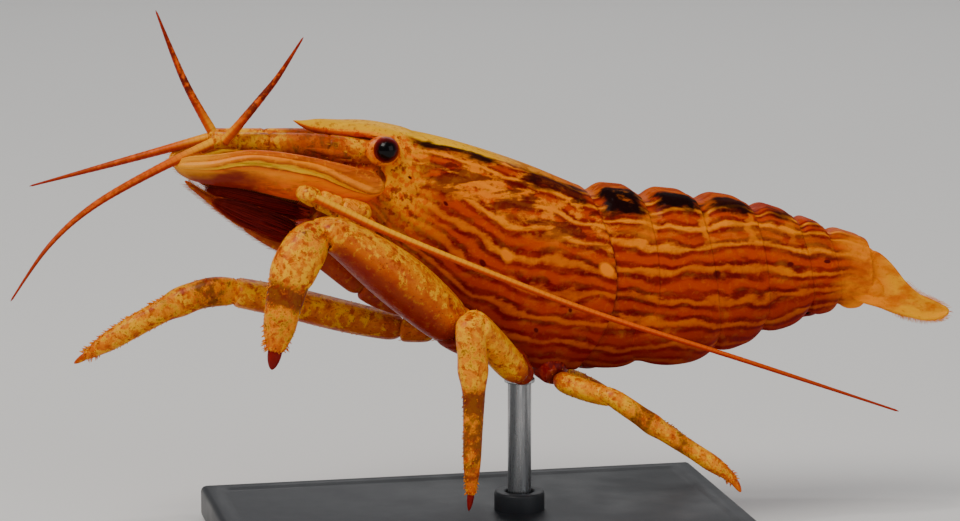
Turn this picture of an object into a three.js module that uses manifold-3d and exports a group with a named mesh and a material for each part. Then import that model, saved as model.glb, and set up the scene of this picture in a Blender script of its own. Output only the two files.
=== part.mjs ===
// A bamboo shrimp, a freshwater fan feeder, as a still life-size model on a display stand.
// Lengths are in millimetres. The shrimp faces -Y, its left side is +X and +Z is up.
// The origin is the centre of the underside of the stand's base.
import * as THREE from 'three';
import { mergeVertices } from 'three/addons/utils/BufferGeometryUtils.js';
import Module from 'manifold-3d';

const wasm = await Module();
wasm.setup();

// Clearance between pieces that touch in the real animal
const gap = 0.3;
const seam = 0.35;           // between one shell plate and the next, a little more than the clearance

// The stand: a flat base with a socket, and one rod up to the belly
const baseLength = 62;
const baseWidth = 38;
const baseThickness = 4;
const baseCorner = 5;
const rodRadius = 1.4;
const rodY = 4.8;
const rodTop = 23;
const socketRadius = 3;
const socketHeight = 2;
const socketDepth = 3;

// The shell of the head and thorax, as stations from front to rear
const carapaceStations = [
  { y: -15.5, top: 50.9, bottom: 40.2, half: 3.4 },
  { y: -11.5, top: 50.2, bottom: 34.8, half: 5.2 },
  { y: -6, top: 49.1, bottom: 29.4, half: 6.6 },
  { y: 0, top: 47.3, bottom: 24.2, half: 7.3 },
  { y: 6, top: 45.1, bottom: 21.8, half: 7.6 },
  { y: 12, top: 42.5, bottom: 21.6, half: 7.3 },
  { y: 17, top: 40.2, bottom: 21.8, half: 7.1 },
];

// The envelope of the abdomen, through the crowns of its six rings
const abdomenStations = [
  { y: 8, top: 43.6, bottom: 21.5, half: 7.0 },
  { y: 15, top: 42.7, bottom: 21.3, half: 7.0 },
  { y: 22, top: 41.9, bottom: 21.3, half: 6.8 },
  { y: 27, top: 41.3, bottom: 21.9, half: 6.3 },
  { y: 31, top: 40.6, bottom: 23.2, half: 5.7 },
  { y: 36, top: 39.2, bottom: 24.8, half: 4.9 },
  { y: 42, top: 37.0, bottom: 26.5, half: 3.9 },
  { y: 48, top: 35.2, bottom: 26.9, half: 3.0 },
];

// Where one shell plate ends and the next begins: on the back, at the lower edge, and how far the border
// bows to the rear on the flank. The first border is the rear edge of the carapace.
const plateBorders = [
  { back: 12.3, edge: 8.6, bow: 4.2 },
  { back: 18.9, edge: 18.2, bow: 1.6 },
  { back: 25.6, edge: 28.2, bow: 0.6 },
  { back: 32.4, edge: 34.0, bow: 0.8 },
  { back: 38.0, edge: 39.8, bow: 0.8 },
  { back: 41.8, edge: 43.6, bow: 0.6 },
  { back: 47.2, edge: 47.2, bow: 0.3 },
];
const ringCrown = 1.0;       // how far a ring's crown stands above its borders on the back
const pleuronDrop = 1.5;     // how far a side lobe hangs below its corners

// Shell sections: an arch over the body, open below along a channel for the limbs
const archSides = 24;
const archShare = 0.79;      // share of the half section that is the outer arch
const archEnd = THREE.MathUtils.degToRad(150);
const archFullness = 0.62;   // below 1 makes the flanks fuller than an ellipse
const rimThickness = 0.8;
const capCentre = 0.22;      // the place round the section whose border the middle of an end face takes
const channelShare = 0.17;   // depth of the channel, as a share of the section's height

// Colours of the living animal and of the stand
const finishes = {
  shell: { color: 0xb5561c, roughness: 0.35 },
  limb: { color: 0xd98a22, roughness: 0.4 },
  feeler: { color: 0xc25a1e, roughness: 0.4 },
  brush: { color: 0x5a1016, roughness: 0.7 },
  soft: { color: 0xc87a3a, roughness: 0.5 },
  eye: { color: 0x1a0608, roughness: 0.08 },
  base: { color: 0x24262a, roughness: 0.45 },
  rod: { color: 0xb8babd, roughness: 0.3, metalness: 1 },
};

// ---- helpers ----

const mirror = ([x, y, z]) => [-x, y, z];
const sides = [['left', (p) => p], ['right', mirror]];

// A smooth value between evenly spaced numbers, with t from 0 to 1
function between(values, t) {
  const place = THREE.MathUtils.clamp(t, 0, 1) * (values.length - 1);
  const i = Math.min(Math.floor(place), values.length - 2);
  return THREE.MathUtils.lerp(values[i], values[i + 1], THREE.MathUtils.smoothstep(place - i, 0, 1));
}

// The section of a station table at y, on a Catmull-Rom curve through its rows
function sectionAt(stations, y) {
  let i = 0;
  while (i < stations.length - 2 && y > stations[i + 1].y) i += 1;
  const row = (k) => stations[THREE.MathUtils.clamp(k, 0, stations.length - 1)];
  const t = (y - row(i).y) / (row(i + 1).y - row(i).y);
  const section = {};
  for (const key of ['top', 'bottom', 'half']) {
    const [a, b, c, d] = [i - 1, i, i + 1, i + 2].map((k) => row(k)[key]);
    const bend = (2 * a - 5 * b + 4 * c - d) * t * t + (3 * b - a - 3 * c + d) * t * t * t;
    section[key] = 0.5 * (2 * b + (c - a) * t + bend);
  }
  return section;
}

// A closed body that maps a cylinder's (around, along, rim) to space, with its faces turned outwards
function shapeBody(aroundCount, alongCount, place) {
  const geometry = new THREE.CylinderGeometry(1, 1, 1, aroundCount, alongCount);
  geometry.deleteAttribute('normal');
  geometry.deleteAttribute('uv');
  const spots = geometry.attributes.position;
  const point = new THREE.Vector3();
  for (let i = 0; i < spots.count; i += 1) {
    point.fromBufferAttribute(spots, i);
    const rim = Math.min(1, Math.hypot(point.x, point.z));
    const turn = rim > 0.5 ? Math.atan2(point.x, point.z) / (2 * Math.PI) : 0;
    const around = ((Math.round(turn * aroundCount) + aroundCount) % aroundCount) / aroundCount;
    place(around, point.y + 0.5, rim > 0.5, point);
    spots.setXYZ(i, point.x, point.y, point.z);
  }
  return faceOut(mergeVertices(geometry, 1e-4));
}

function faceOut(geometry) {
  const [a, b, c] = [new THREE.Vector3(), new THREE.Vector3(), new THREE.Vector3()];
  const index = geometry.index.array;
  let volume = 0;
  for (let i = 0; i < index.length; i += 3) {
    a.fromBufferAttribute(geometry.attributes.position, index[i]);
    b.fromBufferAttribute(geometry.attributes.position, index[i + 1]);
    c.fromBufferAttribute(geometry.attributes.position, index[i + 2]);
    volume += a.dot(b.cross(c));
  }
  if (volume < 0) {
    for (let i = 0; i < index.length; i += 3) [index[i], index[i + 1]] = [index[i + 1], index[i]];
  }
  return geometry;
}

function toSolid(geometry) {
  const merged = geometry.clone();
  merged.deleteAttribute('normal');
  merged.deleteAttribute('uv');
  const closed = mergeVertices(merged, 1e-4);
  return new wasm.Manifold(new wasm.Mesh({
    numProp: 3,
    vertProperties: new Float32Array(closed.attributes.position.array),
    triVerts: new Uint32Array(closed.index.array),
  }));
}

function toGeometry(solid) {
  const mesh = solid.getMesh();
  const geometry = new THREE.BufferGeometry();
  geometry.setAttribute('position', new THREE.BufferAttribute(mesh.vertProperties, 3));
  geometry.setIndex(new THREE.BufferAttribute(mesh.triVerts, 1));
  return geometry;
}

function join(...geometries) {
  return toGeometry(geometries.map(toSolid).reduce((whole, piece) => whole.add(piece)));
}

// One point of a shell section: around runs from the back over the left flank, under and up the right
function archPoint(section, around, grow, lift) {
  const side = around <= 0.5 ? 1 : -1;
  const share = side > 0 ? around * 2 : (1 - around) * 2;
  const top = section.top + grow - lift.top;
  const bottom = section.bottom - grow + lift.bottom;
  const half = section.half + grow - lift.side;
  const middle = bottom + 0.48 * (top - bottom);
  const edgeX = half * Math.sin(archEnd) ** archFullness;
  if (share > archShare) {
    const inward = (share - archShare) / (1 - archShare);
    const x = Math.max(0, edgeX - rimThickness - 2 * grow) * (1 - inward);
    return [side * x, bottom + channelShare * (section.top - section.bottom) * Math.sin(inward * Math.PI / 2)];
  }
  const turn = share / archShare * archEnd;
  const x = half * Math.max(0, Math.sin(turn)) ** archFullness;
  const low = (middle - bottom) * Math.cos(turn) / Math.abs(Math.cos(archEnd));
  const z = turn < Math.PI / 2 ? middle + (top - middle) * Math.cos(turn) : middle + low;
  return [side * x, z];
}

// How far a border has run back at this place on the section
function borderAt(border, around) {
  const down = (1 - Math.cos(2 * Math.PI * around)) / 2;
  const flank = Math.sin(2 * Math.PI * around) ** 2;
  return THREE.MathUtils.lerp(border.back, border.edge, down) + border.bow * flank;
}

// A shell plate between two borders, each a function of the place around the section
function shellPlate(stations, front, rear, steps, pinch, grow) {
  return shapeBody(archSides, steps, (around, along, rim, point) => {
    const place = rim ? around : capCentre;
    const y = THREE.MathUtils.lerp(front(place), rear(place), along);
    const edge = pinch ? Math.abs(2 * along - 1) ** 4 : 0;
    const lift = { top: ringCrown * edge, side: 0.35 * edge, bottom: pleuronDrop * edge };
    const flat = pinch ? lift : { top: 0, side: 0, bottom: 0 };
    const section = sectionAt(stations, y);
    const [x, z] = archPoint(section, around, grow, flat);
    if (rim) point.set(x, y, z);
    else point.set(0, y, THREE.MathUtils.lerp(section.bottom, section.top, 0.6));
  });
}

// A limb: an oval tube along a smooth path, with half widths and half depths spread evenly along it.
// "across" is the direction of the width.
function limb({ path, widths, depths = widths, across = [0, 0, 1], around = 8, steps = 8 }, grow = 0) {
  const curve = new THREE.CatmullRomCurve3(path.map((p) => new THREE.Vector3(...p)), false, 'centripetal');
  const sideways = new THREE.Vector3(...across);
  const wide = new THREE.Vector3();
  const deep = new THREE.Vector3();
  return shapeBody(around, steps, (turn, along, rim, point) => {
    const tangent = curve.getTangentAt(along);
    const centre = curve.getPointAt(along).addScaledVector(tangent, grow * (2 * along - 1));
    wide.copy(sideways).addScaledVector(tangent, -tangent.dot(sideways)).normalize();
    deep.crossVectors(tangent, wide);
    point.copy(centre);
    if (!rim) return;
    const angle = 2 * Math.PI * turn;
    point.addScaledVector(wide, (between(widths, along) + grow) * Math.cos(angle));
    point.addScaledVector(deep, (between(depths, along) + grow) * Math.sin(angle));
  });
}

function ball([x, y, z], radius, grow = 0) {
  const geometry = new THREE.SphereGeometry(radius + grow, 10, 6);
  geometry.deleteAttribute('normal');
  geometry.deleteAttribute('uv');
  return faceOut(mergeVertices(geometry.translate(x, y, z), 1e-4));
}

// ---- the assembly ----

const model = new THREE.Group();
const fitted = [];

// Adds a piece, cut back so that it stays clear of every piece already there.
// build(grow) gives its shape, swollen by grow on all sides.
function addPiece(name, finish, build) {
  let solid = toSolid(build(0));
  const reach = new THREE.Box3().setFromBufferAttribute(build(gap).attributes.position);
  for (const other of fitted) {
    if (other.box.intersectsBox(reach)) solid = solid.subtract(other.swollen);
  }
  const geometry = toGeometry(solid);
  const material = new THREE.MeshStandardMaterial({ metalness: 0, ...finishes[finish] });
  const mesh = new THREE.Mesh(geometry, material);
  mesh.name = name;
  model.add(mesh);
  const box = new THREE.Box3().setFromBufferAttribute(geometry.attributes.position);
  fitted.push({ box, swollen: toSolid(build(gap)) });
}

// Eyes first, so that the carapace is cut to an orbit round them
const eyeCentre = [5.6, -12.2, 48.3];
const eyeRadius = 1.6;
for (const [side, place] of sides) {
  addPiece(`eye_${side}`, 'eye', (grow) => ball(place(eyeCentre), eyeRadius, grow));
  addPiece(`eyestalk_${side}`, 'soft', (grow) => limb({
    path: [[1.9, -14.0, 47.7], [3.4, -13.2, 48.0], [4.8, -12.5, 48.2]].map(place),
    widths: [1.1, 1.3, 1.8],
    steps: 3,
  }, grow));
}

// The carapace with the short keeled rostrum that it carries between the eyes
const carapaceFront = (around) => -12.2 - 1.4 * (1 - Math.cos(2 * Math.PI * around));
const rostrum = {
  path: [[0, -7.5, 48.1], [0, -12.5, 49.4], [0, -17.5, 49.9], [0, -20.2, 50.3], [0, -21.9, 50.95]],
  widths: [1.2, 1.5, 1.2, 0.8, 0.25],
  depths: [2.6, 2.1, 1.4, 0.8, 0.25],
};
addPiece('carapace', 'shell', (grow) => join(
  shellPlate(carapaceStations, (a) => carapaceFront(a) - grow, (a) => borderAt(plateBorders[0], a) + grow,
    9, false, grow),
  limb(rostrum, grow),
));

// The body between the bases of the limbs, seen from below
addPiece('thorax', 'soft', (grow) => limb({
  path: [[0, -12.5, 36.6], [0, -6, 30.9], [0, 0, 25.9], [0, 5, 23.4], [0, 10, 22.9]],
  widths: [1.6, 1.9, 1.9, 1.7, 1.2],
  depths: [2.0, 3.2, 3.2, 3.0, 2.0],
  steps: 5,
}, grow));

// The front of the head, between the stalks of the feelers
addPiece('head', 'soft', (grow) => limb({
  path: [[0, -12.9, 43.4], [0, -16, 44.0], [0, -19.5, 45.0]],
  widths: [4.6, 3.4, 1.8],
  depths: [3.4, 2.6, 1.4],
  steps: 3,
}, grow));

for (let ring = 1; ring <= 6; ring += 1) {
  const [before, after] = [plateBorders[ring - 1], plateBorders[ring]];
  addPiece(`abdomen_${ring}`, 'shell', (grow) => shellPlate(
    abdomenStations, (a) => borderAt(before, a) + seam - grow, (a) => borderAt(after, a) + grow, 4, true, grow,
  ));
}

// The folded tail fan: the telson above, an inner and an outer uropod below it on each side
addPiece('telson', 'shell', (grow) => limb({
  path: [[0, 47.9, 32.2], [0, 51.0, 30.1], [0, 54.4, 27.7], [0, 57.2, 26.2]],
  widths: [1.8, 1.3, 0.75, 0.35],
  depths: [2.1, 1.8, 1.2, 0.8],
}, grow));
for (const [side, place] of sides) {
  addPiece(`uropod_inner_${side}`, 'shell', (grow) => limb({
    path: [[1.3, 47.9, 28.3], [1.3, 50.8, 27.0], [1.1, 54.4, 25.7], [0.7, 57.4, 25.0]].map(place),
    widths: [1.1, 1.2, 0.7, 0.35],
    depths: [0.35, 0.4, 0.35, 0.3],
    across: place([0.2, 0, 1]),
    steps: 6,
  }, grow));
  addPiece(`uropod_outer_${side}`, 'shell', (grow) => limb({
    path: [[3.0, 47.9, 29.2], [3.1, 50.6, 27.8], [2.6, 54.4, 26.0], [1.8, 58.2, 25.2]].map(place),
    widths: [2.1, 2.5, 1.7, 0.5],
    depths: [0.35, 0.4, 0.35, 0.3],
    across: place([-0.15, 0, 1]),
  }, grow));
}

// Feelers: a three-jointed stalk with two thin ones, and a stout base with one long one and a scale
const antennulePaths = {
  up_left: [[3.4, -29.7, 49.5], [3.6, -28.6, 51.8], [3.8, -26.2, 54.6], [4.0, -24.3, 57.0], [4.5, -21.5, 61.4]],
  forward_left: [[1.7, -32.3, 48.9], [3.6, -38.6, 46.4], [6.4, -46.0, 43.0], [8.8, -51.3, 39.0], [10.4, -55.8, 33.2]],
  up_right: [[-1.6, -31.8, 49.9], [-2.2, -34.3, 55.8], [-3.3, -37.4, 64.0]],
  forward_right: [[-2.2, -32.4, 48.6], [-5.2, -43.5, 45.8], [-8.0, -51.9, 43.3]],
};
const antennaPaths = {
  left: [[9.2, -21.9, 44.2], [9.5, -17.2, 41.6], [9.8, -11.4, 38.8], [10.3, 0.2, 33.8], [11.0, 11.8, 29.1],
    [12.4, 29.0, 23.2], [14.0, 47.3, 16.7]],
  right: [[-9.2, -21.9, 44.2], [-9.6, -17.0, 42.6], [-10.0, -10, 41.0], [-10.2, 5, 37.8], [-9.8, 24, 33.8],
    [-8.8, 44, 30.4]],
};
for (const [side, place] of sides) {
  addPiece(`antennule_${side}`, 'shell', (grow) => limb({
    path: [[2.1, -15.2, 47.8], [2.0, -21.5, 48.4], [1.9, -26.5, 48.8], [1.8, -31.5, 49.0]].map(place),
    widths: [1.5, 1.4, 1.35, 0.8],
    depths: [1.3, 1.3, 1.2, 0.8],
    steps: 6,
  }, grow));
  addPiece(`scale_${side}`, 'shell', (grow) => limb({
    path: [[6.0, -13.2, 43.7], [6.3, -17.7, 43.9], [6.0, -21.6, 44.8], [4.9, -27.4, 46.0], [3.7, -31.8, 46.4],
      [2.5, -36.0, 46.2]].map(place),
    widths: [1.0, 2.3, 3.2, 2.4, 1.6, 0.5],
    depths: [0.7, 0.6, 0.5, 0.4, 0.35, 0.3],
    across: place([0.4, 0, 1]),
  }, grow));
  addPiece(`antenna_base_${side}`, 'limb', (grow) => limb({
    path: [[6.2, -14.8, 41.0], [7.0, -18.4, 42.1], [7.4, -22.2, 43.9]].map(place),
    widths: [1.2, 1.4, 0.9],
    steps: 4,
  }, grow));
  addPiece(`antenna_${side}`, 'feeler', (grow) => limb({
    path: antennaPaths[side],
    widths: [0.55, 0.5, 0.45, 0.38, 0.26],
    around: 6,
    steps: 12,
  }, grow));
}
for (const [name, path] of Object.entries(antennulePaths)) {
  addPiece(`antennule_${name}`, 'feeler', (grow) => limb({
    path, widths: [0.5, 0.44, 0.36, 0.26], across: [1, 0, 0], around: 6, steps: 8,
  }, grow));
}

// The mouth's leg-like third maxillipeds, along the lower edge of the head
for (const [side, place] of sides) {
  addPiece(`maxilliped_${side}`, 'limb', (grow) => limb({
    path: [[1.7, -13, 35.6], [1.6, -18.5, 34.8], [1.5, -24.6, 37.3], [1.4, -30, 41.0], [1.2, -34.6, 44.4]].map(place),
    widths: [1.0, 0.9, 0.8, 0.7, 0.3],
    around: 6,
  }, grow));
}

// The two pairs of feeding limbs, folded forward, each with its fan closed to a brush
const feedingLimbs = [
  {
    arm: [[2.2, -10.5, 36.4], [3.9, -15.5, 37.4], [4.1, -20.4, 40.4]],
    brush: [[3.9, -21, 41.2], [3.3, -26, 42.4], [2.5, -32.6, 44.2]],
  },
  {
    arm: [[3.4, -5.5, 28.0], [5.0, -13, 31.2], [5.6, -20.2, 36.0]],
    brush: [[4.8, -21.4, 38.2], [4.2, -26, 39.9], [3.2, -32, 42.8]],
  },
];
feedingLimbs.forEach(({ arm, brush }, pair) => {
  for (const [side, place] of sides) {
    addPiece(`cheliped_${pair + 1}_${side}`, 'limb', (grow) => limb({
      path: arm.map(place), widths: [1.3, 1.5, 1.3], depths: [1.0, 1.0, 0.9], around: 6, steps: 4,
    }, grow));
    addPiece(`fan_${pair + 1}_${side}`, 'brush', (grow) => limb({
      path: brush.map(place), widths: [0.9, 1.2, 0.35], depths: [0.7, 0.8, 0.3], around: 6, steps: 4,
    }, grow));
  }
});

// Walking legs. Each is an upper length out to the knee and a lower length down to the claw.
const legs = {
  leg_3_left: {
    upper: [[4.4, -1.0, 25.4], [8.6, -4.0, 26.9], [11.4, -11.7, 33.4], [12.4, -17.6, 38.0], [12.8, -20.6, 40.2]],
    upperWidths: [1.6, 2.9, 3.2, 3.1, 2.3],
    lower: [[13.2, -22.6, 41.0], [13.4, -24.0, 38.9], [13.7, -25.0, 35.3], [13.9, -25.9, 31.5], [14.1, -26.8, 27.8],
      [14.1, -27.3, 24.9]],
    lowerWidths: [2.0, 2.8, 2.6, 1.9, 1.4, 0.35],
  },
  leg_3_right: {
    upper: [[-4.4, -1.0, 25.2], [-6.0, -6.0, 24.8], [-8.5, -12.9, 25.9], [-10.5, -19.8, 27.5], [-11.0, -24.9, 28.7]],
    upperWidths: [1.3, 1.7, 2.1, 2.2, 1.9],
    lower: [[-11.0, -26.7, 29.2], [-11.0, -30.2, 29.5], [-11.5, -34.2, 28.2], [-12.0, -39.0, 25.7],
      [-12.4, -43.6, 23.0], [-12.6, -46.7, 21.1]],
    lowerWidths: [1.6, 1.8, 1.4, 1.3, 1.1, 0.35],
  },
  leg_4_left: {
    upper: [[4.4, 3.2, 24.2], [7.9, 2.8, 22.2], [10.6, -0.2, 25.3], [13.1, -3.0, 28.6]],
    upperWidths: [1.2, 1.9, 1.9, 1.7],
    lower: [[14.2, -4.1, 29.6], [14.3, -4.0, 26.3], [14.5, -3.8, 21.6], [14.7, -4.0, 15.4], [14.9, -4.2, 10.2],
      [15.0, -4.5, 7.6]],
    lowerWidths: [1.6, 1.9, 1.5, 1.3, 1.0, 0.35],
  },
  leg_4_right: {
    upper: [[-4.6, 3.6, 24.0], [-7.1, 4.4, 22.5], [-8.7, 3.0, 24.6], [-9.8, 1.6, 26.6]],
    upperWidths: [1.2, 1.7, 1.7, 1.5],
    lower: [[-10.6, 0.7, 26.9], [-10.7, 0.9, 24.0], [-10.8, 1.1, 19.4], [-10.9, 1.2, 14.6], [-11.0, 1.2, 10.6],
      [-11.0, 1.1, 8.4]],
    lowerWidths: [1.4, 1.6, 1.3, 1.1, 0.9, 0.35],
  },
  leg_5_left: {
    upper: [[4.0, 7.4, 23.3], [6.2, 8.4, 20.7], [8.6, 10.8, 19.7], [10.8, 12.3, 19.5]],
    upperWidths: [1.0, 1.3, 1.4, 1.3],
    lower: [[12.2, 12.8, 19.7], [12.9, 15.6, 17.8], [13.7, 18.4, 15.8], [14.9, 22.9, 12.8], [15.8, 26.2, 10.4],
      [16.3, 27.5, 8.5]],
    lowerWidths: [1.1, 1.5, 1.4, 1.2, 1.2, 0.35],
  },
  leg_5_right: {
    upper: [[-4.0, 7.6, 23.3], [-5.4, 10.0, 20.0], [-7.0, 12.5, 18.2], [-8.2, 14.2, 17.4]],
    upperWidths: [0.9, 1.1, 1.2, 1.1],
    lower: [[-8.9, 15.3, 16.8], [-9.6, 18.3, 14.7], [-10.2, 21.4, 12.6], [-10.8, 25.2, 10.3], [-11.1, 28.2, 8.4],
      [-11.2, 29.6, 7.0]],
    lowerWidths: [0.9, 1.2, 1.1, 1.0, 0.9, 0.35],
  },
};
const legDepth = 0.78;       // a leg's depth from side to side, as a share of its width
for (const [name, leg] of Object.entries(legs)) {
  const [part, number, side] = name.split('_');
  for (const [length, path, widths, steps] of [
    ['upper', leg.upper, leg.upperWidths, 6],
    ['lower', leg.lower, leg.lowerWidths, 7],
  ]) {
    const depths = widths.map((width) => width * (width < 0.5 ? 1 : legDepth));
    addPiece(`${part}_${number}_${length}_${side}`, 'limb', (grow) => limb({
      path, widths, depths, across: [0, -0.8, 0.6], steps,
    }, grow));
  }
}

// Five pairs of swimmerets, laid forward in the channel under the abdomen, each pair on a bar
for (let pair = 1; pair <= 5; pair += 1) {
  const y = plateBorders[pair].edge - 3.2;
  const { bottom, half } = sectionAt(abdomenStations, y);
  const reach = 0.16 * half;
  const barZ = bottom + 0.2;
  addPiece(`swimmerets_${pair}`, 'soft', (grow) => join(
    limb({ path: [[-reach, y, barZ], [reach, y, barZ]], widths: [0.3, 0.3], around: 5, steps: 1 }, grow),
    ...sides.map(([, place]) => limb({
      path: [[reach, y + 0.5, barZ], [reach, y - 2, barZ - 0.4], [0.9 * reach, y - 4, barZ - 0.5]].map(place),
      widths: [0.35, 0.45, 0.3],
      depths: [0.4, 0.1 * half, 0.3],
      around: 6,
      steps: 3,
    }, grow)),
  ));
}

// The stand: the rod drops into a socket on the base and stops short of the belly
const turnUp = (geometry) => geometry.rotateX(Math.PI / 2);
addPiece('stand_rod', 'rod', (grow) => {
  const foot = baseThickness + socketHeight - socketDepth + gap - grow;
  const height = rodTop + grow - foot;
  return turnUp(new THREE.CylinderGeometry(rodRadius + grow, rodRadius + grow, height, 12))
    .translate(0, rodY, foot + height / 2);
});
addPiece('stand_base', 'base', () => {
  const [w, l, r] = [baseWidth / 2 - baseCorner, baseLength / 2 - baseCorner, baseCorner];
  const outline = new THREE.Shape();
  outline.absarc(w, l, r, 0, Math.PI / 2);
  outline.absarc(-w, l, r, Math.PI / 2, Math.PI);
  outline.absarc(-w, -l, r, Math.PI, 1.5 * Math.PI);
  outline.absarc(w, -l, r, 1.5 * Math.PI, 2 * Math.PI);
  const plate = new THREE.ExtrudeGeometry(outline, { depth: baseThickness, bevelEnabled: false, curveSegments: 3 });
  const boss = turnUp(new THREE.CylinderGeometry(socketRadius, socketRadius, socketHeight + 1, 12))
    .translate(0, rodY, baseThickness + (socketHeight - 1) / 2);
  return join(plate, boss);
});

export default model;
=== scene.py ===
# A bamboo shrimp as a still, life-size model: shell plates, limbs, feelers, eyes and bristle fans over the
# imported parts, on a display stand. Everything is in metres. The shrimp faces -Y, its left is +X, up is +Z.
import math
import random
import bpy
import bmesh
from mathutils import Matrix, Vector


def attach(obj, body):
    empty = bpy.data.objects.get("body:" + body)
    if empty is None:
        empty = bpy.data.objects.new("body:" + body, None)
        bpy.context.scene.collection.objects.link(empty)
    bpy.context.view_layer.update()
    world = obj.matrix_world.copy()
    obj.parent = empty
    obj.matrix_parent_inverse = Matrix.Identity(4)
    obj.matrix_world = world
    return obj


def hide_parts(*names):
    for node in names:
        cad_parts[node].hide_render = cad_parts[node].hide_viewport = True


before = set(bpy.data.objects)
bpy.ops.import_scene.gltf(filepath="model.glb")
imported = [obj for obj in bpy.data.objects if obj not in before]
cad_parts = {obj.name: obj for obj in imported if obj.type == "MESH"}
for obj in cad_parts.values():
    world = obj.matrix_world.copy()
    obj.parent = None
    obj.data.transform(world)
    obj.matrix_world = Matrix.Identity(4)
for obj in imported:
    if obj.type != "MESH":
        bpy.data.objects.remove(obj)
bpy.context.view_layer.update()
mm = 0.001
goldenTurn = 2.399963                # radians between neighbours in an even spiral
random.seed(7)
sides = {"left": 1, "right": -1}
print("frame loaded")


# camera

view = {"azimuth": 78, "elevation": 10, "distance": 0.42, "aim": (0, 0, 0.034), "lens": 133.9}
turn, rise = math.radians(view["azimuth"]), math.radians(view["elevation"])
outward = Vector((math.sin(turn) * math.cos(rise), -math.cos(turn) * math.cos(rise), math.sin(rise)))
bpy.ops.object.camera_add(location=Vector(view["aim"]) + outward * view["distance"])
camera = bpy.context.active_object
camera.rotation_euler = outward.to_track_quat("Z", "Y").to_euler()
camera.data.lens = view["lens"]
camera.data.clip_start = 0.01
bpy.context.scene.camera = camera


# small tools for numbers and routes

def curveAt(a, b, c, d, f):   # a smooth curve from b to c, with a before them and d after them
    start = 2 * b + (c - a) * f + (2 * a - 5 * b + 4 * c - d) * f ** 2
    return 0.5 * (start + (3 * b - a - 3 * c + d) * f ** 3)


def smoothRow(values, t):     # a smooth curve through evenly spaced numbers
    place = min(max(t, 0), 1) * (len(values) - 1)
    i = min(int(place), len(values) - 2)
    near = [values[min(max(k, 0), len(values) - 1)] for k in (i - 1, i, i + 1, i + 2)]
    return curveAt(*near, place - i)


def easeStep(low, high, value):
    f = min(max((value - low) / (high - low), 0), 1)
    return f * f * (3 - 2 * f)


def bump(centre, reach, value):
    return math.exp(-((value - centre) / reach) ** 2)


def blendOf(a, b, f):
    return a + (b - a) * f


def flip(points, side):       # points of the left side, carried over to a side
    return [(x * side, y, z) for x, y, z in points]


def traceRoute(points):       # evenly spaced places along a smooth line through the points, in millimetres
    spans = (len(points) - 1) * 16
    rows = list(zip(*points))
    dense = [Vector([smoothRow(row, k / spans) for row in rows]) for k in range(spans + 1)]
    runs = [0]
    for a, b in zip(dense, dense[1:]):
        runs.append(runs[-1] + (b - a).length)

    def placeAt(t):
        goal = min(max(t, 0), 1) * runs[-1]
        k = 0
        while k < spans - 1 and runs[k + 1] < goal:
            k += 1
        f = (goal - runs[k]) / max(runs[k + 1] - runs[k], 1e-9)
        ahead = dense[min(k + 2, spans)] - dense[max(k - 1, 0)]
        return dense[k].lerp(dense[k + 1], f), ahead.normalized()

    placeAt.length = runs[-1]
    return placeAt


def spread(values, span=(0, 1), count=5):            # the row of values again, over a part of its length
    return [smoothRow(values, blendOf(*span, k / (count - 1))) for k in range(count)]


# small tools for meshes

def freshSelection():
    if bpy.context.object and bpy.context.object.mode != "OBJECT":
        bpy.ops.object.mode_set(mode="OBJECT")
    bpy.ops.object.select_all(action="DESELECT")


def pick(piece):
    freshSelection()
    piece.select_set(True)
    bpy.context.view_layer.objects.active = piece


blanks = {}


def blankTube(sideCount, rings):     # a disc drawn out ring by ring, kept for every tube of its kind
    key = (sideCount, rings)
    if key not in blanks:
        freshSelection()
        bpy.ops.mesh.primitive_circle_add(vertices=sideCount, radius=1, fill_type="NGON")
        piece = bpy.context.active_object
        bpy.ops.object.mode_set(mode="EDIT")
        for ring in range(rings):
            bpy.ops.mesh.extrude_region_move(TRANSFORM_OT_translate={"value": (0, 0, 1)})
        bpy.ops.mesh.select_all(action="SELECT")
        bpy.ops.mesh.normals_make_consistent(inside=False)
        bpy.ops.object.mode_set(mode="OBJECT")
        mesh = piece.data
        mesh.name = f"blankTube{sideCount}x{rings}"
        mesh.use_fake_user = True
        bpy.data.objects.remove(piece)
        blanks[key] = mesh
    return blanks[key].copy()


def blankSheet(across, along):       # a flat grid, one unit each way
    freshSelection()
    bpy.ops.mesh.primitive_grid_add(x_subdivisions=across, y_subdivisions=along, size=1)
    piece = bpy.context.active_object
    mesh = piece.data
    bpy.data.objects.remove(piece)
    return mesh


def showPiece(name, mesh):
    piece = bpy.data.objects.new(name, mesh)
    bpy.context.scene.collection.objects.link(piece)
    mesh.name = name
    return piece


def addMap(mesh, mapName, spots):    # a UV map from one (u, v) for each vertex
    layer = mesh.uv_layers.new(name=mapName)
    for loop in mesh.loops:
        layer.data[loop.index].uv = spots[loop.vertex_index]


def addMarks(mesh, marks):           # brown, gold and red shares of each vertex
    layer = mesh.attributes.new("marks", "FLOAT_COLOR", "POINT")
    for i, mark in enumerate(marks):
        layer.data[i].color = (*mark, 1)


def joinPieces(name, parts):
    freshSelection()
    for part in parts:
        part.select_set(True)
    bpy.context.view_layer.objects.active = parts[0]
    if len(parts) > 1:
        bpy.ops.object.join()
    whole = bpy.context.active_object
    whole.name = name
    whole.data.name = name
    return whole


def finishMesh(piece, wall=0, offset=-1, levels=1, crease=0):
    pick(piece)
    if wall:
        shell = piece.modifiers.new("wall", "SOLIDIFY")
        shell.thickness = wall * mm
        shell.offset = offset
        shell.use_even_offset = True
        shell.edge_crease_rim = crease
        bpy.ops.object.modifier_apply(modifier="wall")
    if levels:
        fine = piece.modifiers.new("fine", "SUBSURF")
        fine.levels = levels
        fine.render_levels = levels
        bpy.ops.object.modifier_apply(modifier="fine")
    bpy.ops.object.shade_smooth()
    return piece


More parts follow.
